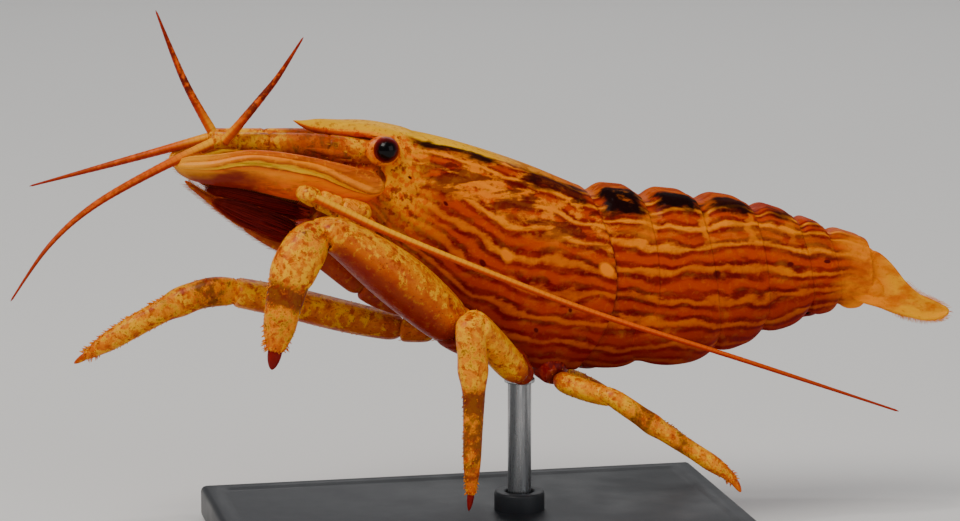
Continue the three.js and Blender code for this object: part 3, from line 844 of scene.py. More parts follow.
rostrum = {"path": [(0, -6.5, 48.3), (0, -9.6, 49.1), (0, -12.3, 49.72), (0, -14.3, 50.02),
                    (0, -17.0, 50.15), (0, -20.4, 50.65), (0, -22.1, 51.25)],
           "heights": [0.45, 0.9, 0.95, 0.95, 0.92, 0.75, 0.1],
           "halves": [2.6, 3.25, 3.4, 2.5, 1.7, 1.0, 0.1]}


def rostrumBlade():
    route = traceRoute(rostrum["path"])

    def keel(share, angle, ring):
        return 1 + 0.22 * bump(0, 0.28, angle) - 0.1 * bump(1.25, 0.4, abs(angle)) * (math.cos(angle) > 0)

    piece = limbTube("rostrumBlade", route, rostrum["heights"], rostrum["halves"], sideCount=28, rings=26,
                     ends=(0.1, 0.05), ripple=keel, squareness=0.85)
    mapAsShell(piece, lambda place, around: (place, 0.06 + 0.34 * easeStep(0.4, 0.62, 2 * abs(around))))
    return finishMesh(piece)


carapace = joinPieces("carapaceShell", [carapaceShell(), rostrumBlade()])
handOver(carapace, "shell", finishes["stripedShell"], "carapace")
for number in range(1, 7):
    handOver(abdomenRing(number), "shell", finishes["stripedShell"], f"abdomen_{number}")
print("shell plates shaped")


# the soft body under the plates, in one skin with the head and the eyestalks

soft = {
    "throat": {"path": [(0, -12.5, 36.6), (0, -6, 30.9), (0, 0, 25.9), (0, 5, 23.6), (0, 10, 23.2)],
               "heights": [1.6, 1.9, 1.9, 1.6, 1.1], "halves": [2.0, 3.2, 3.2, 3.0, 2.0]},
    "nose": {"path": [(0, -11.5, 43.2), (0, -14.5, 44.0), (0, -17.5, 44.9), (0, -21.0, 46.2),
                      (0, -27.0, 47.7)], "heights": [5.4, 4.2, 2.8, 1.8, 0.8],
             "halves": [4.0, 3.2, 2.4, 2.0, 1.3]},
    "belly": [34.4, 29.3, 26.0, 23.5, 22.3, 22.3],   # heights of the plates between the limbs, front to rear
    # roots of the left legs: inner end, outer end, and the half widths there
    "legRoots": [((3.3, 7.2, 22.4), (5.4, 8.3, 20.7), (2.3, 1.6)),
                 ((2.2, 2.2, 25.4), (5.4, 3.0, 23.2), (2.2, 1.5)),
                 ((2.2, -2.0, 27.0), (5.6, -2.0, 25.8), (2.4, 1.8))],
    "eyestalk": ([(1.2, -13.6, 47.2), (3.0, -13.2, 47.9), (4.6, -12.6, 48.2)], [1.3, 1.25, 1.45]),
    "jaws": [([(1.2, -14.5, 41.0), (1.5, -17.0, 40.6), (1.3, -19.2, 41.6)], [1.4, 1.3, 0.6]),
             ([(2.6, -12.6, 39.0), (3.0, -15.4, 39.6), (3.0, -17.6, 40.6)], [1.5, 1.3, 0.7])],
    "meltSize": 0.00034, "softening": 6,
}


def coreRows():                      # place along the body, bottom, top and half width just inside the plates
    rows = []
    for plates, places, lift, drop, inset in (("carapace", (-13.5, -9, -4, 2, 8, 13), 0.12, 1.1, 1.1),
                                              ("abdomen", (18, 24, 30, 36, 42, 47.3), 0.1, 1.9, 1.15)):
        for y in places:
            top, bottom, half = sectionAt(body[plates], y)
            rows.append((y, blendOf(bottom, top, lift), top - drop, half - inset))
    return rows


def softBody():
    parts = []

    def addTube(path, heights, halves=None, **more):
        parts.append(limbTube("soft", traceRoute(path), heights, halves, **more))

    core = coreRows()
    addTube([(0, y, (low + high) / 2) for y, low, high, half in core],
            [(high - low) / 2 for y, low, high, half in core], [half for y, low, high, half in core],
            sideCount=32, rings=60, ends=(0.03, 0.03))
    addTube(**soft["throat"], sideCount=20, rings=24)
    addTube(**soft["nose"], sideCount=20, rings=26)
    for step in range(7):                # the plates between the bases of the limbs
        y = -9 + 3 * step
        z = smoothRow(soft["belly"], (y + 10) / 20)
        addTube([(-2.6, y, z + 0.8), (0, y, z - 0.45), (2.6, y, z + 0.8)], [0.42, 0.6, 0.42], sideCount=8,
                rings=10)
    for ring in range(1, 7):             # the bar across the underside of each ring
        y = body["borders"][ring][1] - 3.0 if ring < 6 else 45.5
        top, bottom, half = sectionAt(body["abdomen"], y)
        z = blendOf(bottom, top, 0.17)
        reach = half * 0.82
        addTube([(-reach, y, z + 0.5), (0, y, z - 0.3), (reach, y, z + 0.5)], [0.5, 0.55, 0.5],
                [0.8, 0.9, 0.8], across=(0, 0, 1), sideCount=8, rings=12)
    for side in sides.values():
        for root, end, (thick, thin) in soft["legRoots"]:
            between = tuple((a + b) / 2 for a, b in zip(root, end))
            addTube(flip([root, between, end], side), [thick, (thick + thin) / 2, thin],
                    sideCount=16, rings=14, ends=(0.1, 0.2))
        path, girth = soft["eyestalk"]
        addTube(flip(path, side), girth, sideCount=16, rings=12)
        for path, girth in soft["jaws"]:
            addTube(flip(path, side), girth, sideCount=12, rings=10)
    skin = joinPieces("underSkin", parts)
    pick(skin)
    melt = skin.modifiers.new("melt", "REMESH")      # one closed skin over all the tubes
    melt.mode = "VOXEL"
    melt.voxel_size = soft["meltSize"]
    bpy.ops.object.modifier_apply(modifier="melt")
    soften = skin.modifiers.new("soften", "SMOOTH")
    soften.factor = 0.5
    soften.iterations = soft["softening"]
    bpy.ops.object.modifier_apply(modifier="soften")
    bpy.ops.object.shade_smooth()
    return skin


handOver(softBody(), "soft", finishes["softSkin"], "thorax", "head", "eyestalk_left", "eyestalk_right")
print("soft body shaped")


# eyes: a dark domed cornea in a pale cup at the end of each stalk

def eyeParts(side):
    x, y, z = eye["centre"]
    outside = Vector((side, *eye["looks"])).normalized()
    centre = Vector((x * side, y, z))
    freshSelection()
    bpy.ops.mesh.primitive_uv_sphere_add(segments=48, ring_count=32, radius=eye["radius"])
    dome = bpy.context.active_object
    lean = outside.to_track_quat("Z", "Y")
    spots = []
    for vertex in dome.data.vertices:
        level = math.acos(max(-1, min(1, vertex.co.z / eye["radius"]))) / math.pi
        spots.append((min(level * 2.1, 1), math.atan2(vertex.co.y, vertex.co.x) / math.tau))
        vertex.co = (centre + lean @ vertex.co) * mm
    addMap(dome.data, "limbMap", spots)
    bpy.ops.object.shade_smooth()

    path = [centre + Vector(eye["cupShift"]) + outside * reach for reach in eye["cupReaches"]]
    wide, high = eye["cupHalves"]
    swell = (0.9, 1, 1, 0.9)

    def lips(share, angle, ring):        # a shallow groove leaves a lip round the dome
        return 1 - 0.045 * bump(0.86, 0.035, share)

    cup = fineTube("cup", traceRoute([tuple(point) for point in path]), [high * part for part in swell],
                   [wide * part for part in swell], sideCount=40, rings=26, ends=(0.1, 0.3), ripple=lips)
    return dome, cup


for sideName, side in sides.items():
    dome, cup = eyeParts(side)
    dome.name = dome.data.name = f"eyeDome{sideName.title()}"
    cup.name = cup.data.name = f"eyeCup{sideName.title()}"
    handOver(dome, "eye", finishes["darkEye"], f"eye_{sideName}")
    handOver(cup, "soft", finishes["eyeRim"])
print("eyes set")


# thin blades: the tail fan, the antennal scales and the paddles of the swimmerets

def blade(name, path, halves, across, wall, rounding=0.12, bow=0.0, ridge=None, along=30, wide=14,
          mapAcross=None):
    route = traceRoute(path)
    mesh = blankSheet(wide, along)
    spots = []
    for vertex in mesh.vertices:
        u, t = 2 * vertex.co.x, vertex.co.y + 0.5
        t = 0.5 - 0.5 * math.cos(math.pi * t)
        centre, tangent = route(t)
        broad, deep = sideways(tangent, across)
        half, ending = smoothRow(halves, t), 1
        for away in (t, 1 - t):
            if away < rounding:
                ending *= math.sqrt(max(1 - (1 - away / rounding) ** 2, 0.0025))
        lift = (bow * (1 - u * u) + (ridge(u, t) if ridge else 0)) * ending
        spot = centre + broad * (u * half * ending) + deep * lift
        vertex.co = spot * mm
        spots.append((spot.y / 10, mapAcross(u, t) if mapAcross else u))
    addMap(mesh, "shellMap", spots)
    piece = showPiece(name, mesh)
    turnFacesOut(piece)
    return finishMesh(piece, wall=wall, offset=0)


def fringe(path, halves, across, span, count, reach, edges=(1, -1), forward=0.7, radius=0.035,
           mark=(0, 1, 0)):
    route = traceRoute(path)
    strands = []
    for edge in edges:
        for k in range(count):
            t = blendOf(*span, k / (count - 1))
            centre, tangent = route(min(t, 1))
            broad = sideways(tangent, across)[0]
            half = smoothRow(halves, min(t, 1))
            if t > 0.88:
                half *= math.sqrt(max(1 - ((t - 0.88) / 0.12) ** 2, 0.0))
            root = centre + broad * edge * half * 0.94
            turnIn = easeStep(0.75, 1.0, t)
            aim = (broad * edge * (1 - 0.75 * turnIn) + tangent * (forward + 1.2 * turnIn)).normalized()
            length = reach * random.uniform(0.85, 1.1)
            strands.append((root, root + aim * length, tangent * 0.08 * length, radius, mark))
    return strands


tailFan = {
    "outer": {"path": [(2.3, 44.6, 32.0), (2.7, 47.9, 30.2), (2.7, 51.2, 28.0), (2.2, 54.4, 26.4),
                       (1.5, 57.6, 25.9)], "halves": [3.6, 3.1, 2.05, 1.35, 1.0], "across": (-0.2, 0, 1),
              "bow": 0.75},
    "inner": {"path": [(1.0, 46.9, 28.9), (1.3, 49.0, 27.9), (1.25, 52.0, 26.6), (0.95, 55.0, 25.6),
                       (0.7, 57.3, 25.0)], "halves": [0.8, 1.2, 1.15, 0.85, 0.5], "across": (0.2, 0, 1),
              "bow": 0.2},
    "telson": {"path": [(0, 45.4, 33.2), (0, 48.4, 31.2), (0, 51.6, 28.7), (0, 54.8, 26.9), (0, 57.2, 26.2)],
               "heights": [1.5, 1.5, 1.1, 0.6, 0.3], "halves": [2.6, 2.3, 1.8, 1.2, 0.75]},
    "stalk": [(1.2, 45.6, 29.6), (2.0, 47.2, 29.3), (2.4, 49.0, 28.8)],
    "spinesAt": (0.35, 0.5, 0.64, 0.78), "endBristles": 9, "longBristle": 3,
}


def tailBlade(kind, sideName, side):
    plan = tailFan[kind]
    path = flip(plan["path"], side)
    across = (plan["across"][0] * side, 0, 1)

    def rib(u, t):
        return side * (0.16 * bump(0.12, 0.1, u) + 0.1 * bump(0.9, 0.1, u)) * easeStep(1.0, 0.8, t)

    sheet = blade("blade", path, plan["halves"], across, 0.42, rounding=0.2, bow=-side * plan["bow"],
                  ridge=rib, mapAcross=lambda u, t: 0.5 + 0.1 * u)
    hairs = fringe(path, plan["halves"], across, (0.5, 1.0), 34, 0.75, radius=0.045)
    pieces = [sheet]
    if kind == "outer":                  # the short stalk that both blades grow from
        stalk = limbTube("stalk", traceRoute(flip(tailFan["stalk"], side)), [1.2, 1.5, 1.0], [0.8, 1.0, 0.6],
                         sideCount=18, rings=14, ends=(0.2, 0.3))
        mapAsShell(stalk, lambda place, around: (4.8, 0.5))
        pieces.append(finishMesh(stalk))
    return joinPieces(f"{kind}Uropod{sideName.title()}", pieces), hairs


def telsonPlate():
    plan = tailFan["telson"]
    route = traceRoute(plan["path"])

    def groove(share, angle, ring):
        return 1 - 0.16 * bump(0, 0.3, angle) + 0.1 * bump(0.75, 0.25, abs(angle))

    piece = limbTube("telsonPlate", route, plan["heights"], plan["halves"], sideCount=28, rings=26,
                     ends=(0.06, 0.1), ripple=groove, squareness=0.9)
    mapAsShell(piece, lambda place, around: (place, 0.5))
    finishMesh(piece)
    spines = []
    for side in (1, -1):
        for t in tailFan["spinesAt"]:
            centre, tangent = route(t)
            out, up = smoothRow(plan["halves"], t) * 0.72, smoothRow(plan["heights"], t) * 0.62
            root = centre + Vector((side * out, 0, up))
            spines.append((root, root + tangent * 0.8 + Vector((side * 0.1, 0, 0.14)), (0, 0, 0), 0.11,
                           (0, 1, 0)))
    for k in range(tailFan["endBristles"]):
        away = k - (tailFan["endBristles"] - 1) / 2
        root = route(0.985)[0] + Vector((away * 0.15, 0, 0))
        aim = Vector((away * 0.07, 0.95, -0.42))
        long = 1.0 if abs(away) == tailFan["longBristle"] else 0.75
        spines.append((root, root + aim * long, (0, 0, 0), 0.06, (0, 1, 0)))
    return piece, spines


telson, tailHairs = telsonPlate()
handOver(telson, "shell", finishes["stripedShell"], "telson")
for sideName, side in sides.items():
    for kind in ("outer", "inner"):
        piece, hairs = tailBlade(kind, sideName, side)
        tailHairs += hairs
        handOver(piece, "shell", finishes["stripedShell"], f"uropod_{kind}_{sideName}")
handBristles("tailFringe", tailHairs, rings=4)
print("tail fan shaped")


# antennal scales, with a thick ridge and a fringe along the inner edge and round the tip

scale = {"path": [(6.0, -12.7, 44.0), (6.3, -17.7, 44.65), (6.0, -21.6, 45.35), (4.9, -27.4, 46.4),
                  (3.7, -31.8, 46.4), (2.5, -36.0, 46.8)], "halves": [1.7, 2.6, 2.95, 2.7, 2.05, 1.35],
         "across": (0.4, 0, 1), "ridge": 0.7}


def scaleLevel(u, t):                # 1 and -1 at the edges, 0.5 on the ridge
    place = scale["ridge"] - 0.95 * easeStep(0.36, -0.02, t) - 0.35 * easeStep(0.6, 1.0, t)
    if u > place:
        return blendOf(0.5, 0.5 + 0.5 * (u - place) / (1 - place), easeStep(0.012, 0.04, t))
    return 0.5 - 1.5 * (place - u) / (1 + place)


def scaleShape(u, t):
    level = scaleLevel(u, t)
    lines = 0.14 * bump(0.97, 0.09, level) - 0.1 * bump(0.64, 0.05, level) + 0.1 * bump(0.8, 0.06, level)
    return 0.34 * bump(0.46, 0.12, level) + lines * easeStep(0.02, 0.12, t)


for sideName, side in sides.items():
    path = flip(scale["path"], side)
    across = (scale["across"][0] * side, 0, 1)
    outSign = -side                      # the sheet's own depth points inwards on the left
    piece = blade(f"antennalScale{sideName.title()}", path, scale["halves"], across, 0.5, rounding=0.1,
                  bow=outSign * 0.55, ridge=lambda u, t: outSign * scaleShape(u, t), along=72, wide=48,
                  mapAcross=scaleLevel)
    handOver(piece, "shell", finishes["scaleBlade"], f"scale_{sideName}")
    hairs = fringe(path, scale["halves"], across, (0.3, 1.0), 70, 0.95, edges=(-1,), radius=0.04)
    hairs += fringe(path, scale["halves"], across, (0.86, 1.0), 18, 0.8, edges=(1,), radius=0.04)
    handBristles(f"scaleFringe{sideName.title()}", hairs, rings=4)
print("scales shaped")


# feelers: three-jointed stalks with two ringed whips each, and the long antennae on stout bases

feelers = {
    "stalk": [(2.6, -12.6, 47.5), (2.2, -19.0, 48.4), (1.95, -25.5, 49.05), (1.8, -31.8, 49.45)],
    "stalkHeights": [1.35, 1.5, 1.14, 0.95], "stalkHalves": [1.2, 1.3, 1.1, 0.85],
    "stalkJoints": [(0, 0.32), (0.27, 0.68), (0.65, 0.86), (0.84, 1.0)],
    "stalkMarks": [(0.2, 0.6, 0.0), (0.48, 0.2, 0.2), (0.06, 1.0, 0.0), (0.0, 1.0, 0.0)],
    "sheath": [(3.2, -15.5, 47.3), (3.6, -18.4, 47.9), (3.2, -21.6, 48.5)],
    "thorn": [(7.0, -15.2, 40.6), (7.9, -17.0, 40.6), (8.4, -18.9, 40.9)],
    "whips": {
        "up_left": [(2.4, -30.4, 49.3), (3.6, -28.9, 51.4), (3.8, -26.2, 54.6), (4.0, -24.3, 57.0),
                    (4.5, -21.5, 61.4)],
        "forward_left": [(1.7, -30.8, 49.5), (3.5, -38.2, 46.6), (6.4, -46.0, 43.0), (8.8, -51.3, 39.0),
                         (10.4, -55.8, 33.2)],
        "up_right": [(-1.7, -31.0, 49.5), (-2.2, -34.3, 55.8), (-3.3, -37.4, 64.0)],
        "forward_right": [(-2.0, -31.0, 49.4), (-5.2, -43.5, 45.8), (-8.0, -51.9, 43.3)],
    },
    "whipGirth": [0.62, 0.5, 0.4, 0.26, 0.11],
    "base": [(6.2, -14.2, 40.9), (6.8, -17.2, 41.7), (7.2, -19.8, 42.8), (7.9, -21.9, 43.8),
             (9.0, -22.3, 44.2), (9.4, -20.9, 43.5)],
    "baseGirth": [1.2, 1.45, 1.3, 1.2, 0.95, 0.7],
    "baseJoints": [(0, 0.36), (0.33, 0.6), (0.57, 1.0)],
    "long": {
        "left": [(9.3, -21.6, 43.9), (9.5, -17.2, 41.6), (9.8, -11.4, 38.8), (10.3, 0.2, 33.8),
                 (11.0, 11.8, 29.1), (12.4, 29.0, 23.2), (14.0, 47.3, 16.7)],
        "right": [(-9.3, -21.6, 43.9), (-9.6, -17.0, 42.6), (-10.0, -10, 41.0), (-10.2, 5, 37.8),
                  (-9.8, 24, 33.8), (-8.8, 44, 30.4)],
    },
    "longGirth": [0.56, 0.42, 0.37, 0.32, 0.26, 0.13],
}


def whipTube(name, path, girth, pitch, mark):
    route = traceRoute(path)
    rings = 2 * round(route.length / pitch)

    def ringed(share, angle, ring):      # every second ring is raised, and the last closes to a point
        return (1.02 if ring % 2 else 0.985) * (0.25 if ring == rings else 1)

    piece = limbTube(name, route, girth, sideCount=10, rings=rings, ends=(0, 0), mark=mark, ripple=ringed)
    return finishMesh(piece, levels=0)


def jointCollar(route, span, heights, reach, count, length, radius, mark):       # spines round a joint
    strands = []
    centre, tangent = route(span[1])
    broad, deep = sideways(tangent, reach)
    girth = smoothRow(heights, span[1])
    for k in range(count):
        angle = math.tau * (k + 0.3) / count
        out = broad * math.cos(angle) + deep * math.sin(angle)
        root = centre + out * girth * 0.86 - tangent * 0.35
        strands.append((root, root + tangent * length + out * length * 0.35, (0, 0, 0), radius, mark))
    return strands


for sideName, side in sides.items():
    route = traceRoute(flip(feelers["stalk"], side))
    parts, spines = [], []
    for number, span in enumerate(feelers["stalkJoints"]):
        near, far = feelers["stalkMarks"][number], feelers["stalkMarks"][min(number + 1, 3)]

        def jointMark(share, angle):     # each length takes on the next one's colours towards its end
            return [blendOf(a, b, easeStep(0.5, 1.0, share)) for a, b in zip(near, far)]

        parts.append(fineTube("joint", route, spread(feelers["stalkHeights"], span),
                              spread(feelers["stalkHalves"], span), span=span, sideCount=22, rings=20,
                              ends=(0.14, 0.09), squareness=0.92, mark=jointMark))
        spines += jointCollar(route, span, feelers["stalkHeights"], (0, 0, 1), 9, 0.55, 0.07, (0, 1, 0))
    sheath = traceRoute(flip(feelers["sheath"], side))
    parts.append(fineTube("sheath", sheath, [0.5, 0.42, 0.08], [0.3, 0.24, 0.05], sideCount=14, rings=14,
                          mark=(0.45, 0.1, 0.2)))
    handOver(joinPieces(f"antennuleStalk{sideName.title()}", parts), "shell", finishes["mottledLimb"],
             f"antennule_{sideName}")
    base = traceRoute(flip(feelers["base"], side))
    parts = []
    for span in feelers["baseJoints"]:
        parts.append(fineTube("joint", base, spread(feelers["baseGirth"], span), span=span, sideCount=20,
                              rings=16, ends=(0.2, 0.12), mark=(0.05, 1.0, 0)))
        spines += jointCollar(base, span, feelers["baseGirth"], (0, 0, 1), 6, 0.5, 0.09, (0, 1, 0))
    thorn = traceRoute(flip(feelers["thorn"], side))
    parts.append(fineTube("thorn", thorn, [0.7, 0.45, 0.06], sideCount=12, rings=12, mark=(0, 0.8, 0)))
    handOver(joinPieces(f"antennaBase{sideName.title()}", parts), "limb", finishes["mottledLimb"],
             f"antenna_base_{sideName}")
    handBristles(f"feelerSpines{sideName.title()}", spines)
    whip = whipTube(f"antenna{sideName.title()}", feelers["long"][sideName], feelers["longGirth"], 0.9,
                    lambda share, angle: (0, easeStep(0.55, 0.1, share), easeStep(0.5, 1.0, share)))
    handOver(whip, "feeler", finishes["ringedFeeler"], f"antenna_{sideName}")

for name, path in feelers["whips"].items():
    kind, sideName = name.split("_")
    brownAmount = 0.9 if kind == "up" else 0.4
    whip = whipTube(f"{kind}Whip{sideName.title()}", path, feelers["whipGirth"], 0.8,
                    lambda share, angle: (brownAmount * easeStep(0.1, 0.4, share), easeStep(0.25, 0.0, share),
                                          easeStep(0.4, 1.0, share)))
    handOver(whip, "feeler", finishes["ringedFeeler"], f"antennule_{name}")
print("feelers drawn")


# jointed limbs: each length is split into its segments, with a step at every joint

def segmentTube(route, girth, depths, span, across, sideCount, mark, waist=None, step=0.0):
    long = (span[1] - span[0]) * route.length
    ends = (min(0.26, 1.6 / long), min(0.16, 0.55 / long))

    def pinch(share, angle, ring):       # a joint shown as a raised edge and a narrow groove behind it
        away = (blendOf(*span, share) - waist) * route.length
        rise, fall = step * easeStep(-3.0, -0.5, away), (step + 0.05) * easeStep(-0.25, 0.15, away)
        return 1 + rise - fall + 0.05 * easeStep(0.2, 1.5, away)

    def markAt(share, angle):
        return mark(blendOf(*span, share), angle)

    return fineTube("segment", route, spread(girth, span, 7), spread(depths, span, 7), across=across,
                    span=span, sideCount=sideCount, rings=30 if waist else 18, ends=ends, squareness=0.94,
                    ripple=pinch if waist else None, mark=markAt)


def bumpsOn(route, girth, depths, span, across, count, height, radius, lower=False):
    strands = []
    for k in range(count):
        t = blendOf(*span, (k + random.random()) / count)
        angle = random.uniform(-0.9, 0.9) if lower else random.uniform(-math.pi, math.pi)
        centre, tangent = route(t)
        broad, deep = sideways(tangent, across)
        out = broad * math.cos(angle) * smoothRow(girth, t) + deep * math.sin(angle) * smoothRow(depths, t)
        root = centre + out * 0.93
        aim = (out.normalized() + tangent * 0.9).normalized()
        strands.append((root, root + aim * height * random.uniform(0.7, 1.3), (0, 0, 0), radius, (0, 1, 0)))
    return strands


legPlans = {
    "leg_3_left": {
        "upper": [(4.4, -1.0, 25.4), (8.6, -3.9, 27.1), (11.4, -11.4, 33.8), (12.4, -17.3, 38.4),
                  (12.8, -20.2, 40.2)],
        "upperGirth": [1.8, 3.2, 3.9, 4.1, 3.4, 2.3],
        "lower": [(13.1, -21.6, 39.7), (13.3, -23.1, 38.2), (13.6, -24.7, 35.2), (13.8, -25.6, 31.8),
                  (14.0, -26.3, 28.4), (14.1, -27.0, 24.9)],
        "lowerGirth": [1.7, 2.75, 2.45, 2.07, 1.65, 0.35], "joints": (0.42, 0.88), "step": 0.05,
        "bands": [(0.52, 0.1, 0.85), (0.7, 0.2, 0.42), (0.1, 0.16, 0.4)], "stout": 1, "clawRed": 1,
        "paintedShadeUnder": 0.9,
    },
    "leg_3_right": {
        "upper": [(-4.4, -1.0, 25.2), (-6.0, -6.4, 24.8), (-8.6, -13.6, 26.0), (-10.5, -20.9, 27.8),
                  (-11.0, -26.6, 29.1)],
        "upperGirth": [1.4, 2.1, 2.5, 2.5, 2.3],
        "lower": [(-11.0, -28.3, 29.4), (-11.1, -31.0, 29.3), (-11.5, -34.2, 28.2), (-12.0, -39.0, 25.7),
                  (-12.4, -43.6, 23.0), (-12.6, -46.7, 21.1)],
        "lowerGirth": [1.6, 1.85, 1.5, 1.4, 1.15, 0.35], "joints": (0.38, 0.93), "step": 0.16,
        "bands": [(0.18, 0.14, 0.62), (0.42, 0.1, 0.4), (0.75, 0.2, 0.3)], "stout": 1, "clawRed": 0.25,
        "paintedShadeUnder": 0.3,
    },
    "leg_4_left": {
        "upper": [(4.4, 3.2, 24.2), (7.9, 2.8, 22.2), (10.6, -0.2, 25.3), (13.1, -3.0, 28.6)],
        "upperGirth": [1.3, 2.2, 2.4, 2.1],
        "lower": [(14.2, -4.1, 29.6), (14.3, -4.0, 26.3), (14.5, -3.8, 21.6), (14.7, -4.0, 15.4),
                  (14.9, -4.2, 10.2), (15.0, -4.5, 7.6)],
        "lowerGirth": [1.6, 1.8, 1.38, 1.16, 0.98, 0.35], "joints": (0.37, 0.92), "step": 0.26,
        "bands": [(0.47, 0.07, 1), (0.66, 0.22, 0.62), (0.83, 0.07, 0.6), (0.24, 0.1, 0.36)], "stout": 0,
        "clawRed": 1,
    },
    "leg_4_right": {
        "upper": [(-4.6, 3.6, 24.0), (-7.1, 4.4, 22.5), (-8.7, 3.0, 24.6), (-9.8, 1.6, 26.6)],
        "upperGirth": [1.2, 1.7, 1.7, 1.5],
        "lower": [(-10.6, 0.7, 26.9), (-10.7, 0.9, 24.0), (-10.8, 1.1, 19.4), (-10.9, 1.2, 14.6),
                  (-11.0, 1.2, 10.6), (-11.0, 1.1, 8.4)],
        "lowerGirth": [1.4, 1.6, 1.22, 1.02, 0.88, 0.35], "joints": (0.37, 0.92), "step": 0.24,
        "bands": [(0.47, 0.07, 1), (0.66, 0.22, 0.62), (0.83, 0.07, 0.6), (0.24, 0.1, 0.36)], "stout": 0,
        "clawRed": 1,
    },
    "leg_5_left": {
        "upper": [(3.2, 7.1, 22.5), (5.8, 8.4, 20.5), (8.6, 10.8, 19.7), (10.8, 12.3, 19.5)],
        "upperGirth": [1.5, 1.6, 1.6, 1.4],
        "lower": [(12.2, 12.8, 19.7), (12.9, 15.6, 17.8), (13.7, 18.4, 15.8), (14.9, 22.9, 12.8),
                  (15.8, 26.2, 10.4), (16.3, 27.5, 8.5)],
        "lowerGirth": [1.15, 1.5, 1.4, 1.25, 1.25, 0.35], "joints": (0.42, 0.93), "step": 0.22,
        "bands": [(0.3, 0.13, 0.6), (0.56, 0.09, 0.55), (0.82, 0.12, 0.3)],
        "stout": 0, "clawRed": 0.1,
    },
    "leg_5_right": {
        "upper": [(-4.0, 7.6, 23.3), (-5.4, 10.0, 20.0), (-7.0, 12.5, 18.2), (-8.2, 14.2, 17.4)],
        "upperGirth": [0.9, 1.1, 1.2, 1.1],
        "lower": [(-8.9, 15.3, 16.8), (-9.6, 18.3, 14.7), (-10.2, 21.4, 12.6), (-10.8, 25.2, 10.3),
                  (-11.1, 28.2, 8.4), (-11.2, 29.6, 7.0)],
        "lowerGirth": [0.9, 1.2, 1.1, 1.0, 0.9, 0.35], "joints": (0.42, 0.93), "step": 0.22,
        "bands": [(0.3, 0.13, 0.6), (0.56, 0.09, 0.55), (0.82, 0.12, 0.3)],
        "stout": 0, "clawRed": 0.1,
    },
}
legDepth = 0.78
legAcross = (0, -0.8, 0.6)
upperAcross = (0, 0.6, 0.8)          # the upper lengths are deeper from side to side than from front to rear


def legPieces(name, plan):
    number, sideName = name.split("_")[1:]
    label = {"3": "third", "4": "fourth", "5": "fifth"}[number] + "Leg"
    spines = []
    knee = [blendOf(a, b, 0.8) for a, b in zip(plan["upper"][-1], plan["lower"][0])]
    upper, lower = traceRoute(plan["upper"] + [knee]), traceRoute([plan["upper"][-1]] + plan["lower"])
    upperDepth = [girth * legDepth for girth in plan["upperGirth"]]
    lowerDepth = [girth * legDepth for girth in plan["lowerGirth"]]

    # the red at the base of each upper leg is partly the leg's own colour and partly painted shade under the
    # body
    def upperMark(t, angle):
        if not plan["stout"]:
            return 0.1, easeStep(0.3, 0.5, t), 0.9 * easeStep(0.44, 0.27, t)
        # painted shade: red over the underside of the stout upper legs; where less of it is painted, the gold
        # reaches further round, painted light on the far leg that lies in the body's shadow
        under = plan["paintedShadeUnder"] * easeStep(1.3, 2.05, abs(angle)) * easeStep(1.0, 0.88, t)
        edge = blendOf(3.9, 1.5, plan["paintedShadeUnder"])
        gold = max(easeStep(0.15, 0.45, t) * easeStep(edge, 0.7, abs(angle)), 0.8 * easeStep(0.86, 0.98, t))
        return 0.1, gold, max(0.6 * easeStep(0.3, 0.02, t), under, 0.1)

    def lowerMark(t, angle):
        band = max(amount * bump(centre, reach, t) for centre, reach, amount in plan["bands"])
        tip = easeStep(plan["joints"][1] + 0.01, plan["joints"][1] + 0.05, t)
        return band, 0.95 * easeStep(0.98, 0.7, t), tip * plan["clawRed"]

    parts = []
    for span in ((0, 0.14), (0.12, 0.27), (0.25, 1.0)):
        parts.append(segmentTube(upper, upperDepth, plan["upperGirth"], span, upperAcross, 20, upperMark))
        spines += jointCollar(upper, span, upperDepth, upperAcross, 5, 0.5, 0.08, (0, 1, 0))
    handOver(joinPieces(f"{label}Upper{sideName.title()}", parts), "limb", finishes["mottledLimb"],
             f"leg_{number}_upper_{sideName}")

    wrist, claw = plan["joints"]
    parts = [segmentTube(lower, plan["lowerGirth"], lowerDepth, (0, claw + 0.01), legAcross, 20, lowerMark,
                         waist=wrist, step=plan["step"]), clawTube(lower, plan, lowerMark)]
    spines += jointCollar(lower, (0, wrist - 0.01), lowerDepth, legAcross, 6, 0.4, 0.1, (0, 1, 0))
    spines += jointCollar(lower, (0, claw), lowerDepth, legAcross, 6, 0.4, 0.1, (0, 1, 0))
    handOver(joinPieces(f"{label}Lower{sideName.title()}", parts), "limb", finishes["mottledLimb"],
             f"leg_{number}_lower_{sideName}")

    amount, size = (240, 1) if plan["stout"] else (120, 0.7)
    spines += bumpsOn(upper, upperDepth, plan["upperGirth"], (0.42, 0.97), upperAcross, amount, 0.24 * size,
                      0.11)
    spines += bumpsOn(lower, plan["lowerGirth"], lowerDepth, (0.03, claw), legAcross, amount, 0.26 * size,
                      0.1)
    spines += bumpsOn(lower, plan["lowerGirth"], lowerDepth, (wrist, claw), legAcross, 46, 0.5 * size,
                      0.14 * size, lower=True)
    spines += bumpsOn(lower, plan["lowerGirth"], lowerDepth, (claw - 0.06, claw), legAcross, 24, 0.5 * size,
                      0.07)
    handBristles(f"{label}Spines{sideName.title()}", spines)


def clawTube(route, plan, mark):
    start = plan["joints"][1] - 0.02
    girth = smoothRow(plan["lowerGirth"], start) * 0.66
    widths = [girth * part for part in (1, 1, 0.9, 0.66, 0.3)]
    depths = [girth * part for part in (0.8, 0.8, 0.7, 0.5, 0.25)]
    return fineTube("claw", route, widths, depths, across=legAcross,
                    span=(start, 1), sideCount=14, rings=14, ends=(0.1, 0.12),
                    mark=lambda share, angle: mark(blendOf(start + 0.07, 1, share), angle))


for name, plan in legPlans.items():
    legPieces(name, plan)
print("walking legs jointed")


# the mouth's third maxillipeds, and the feeding limbs with their fans closed to brushes

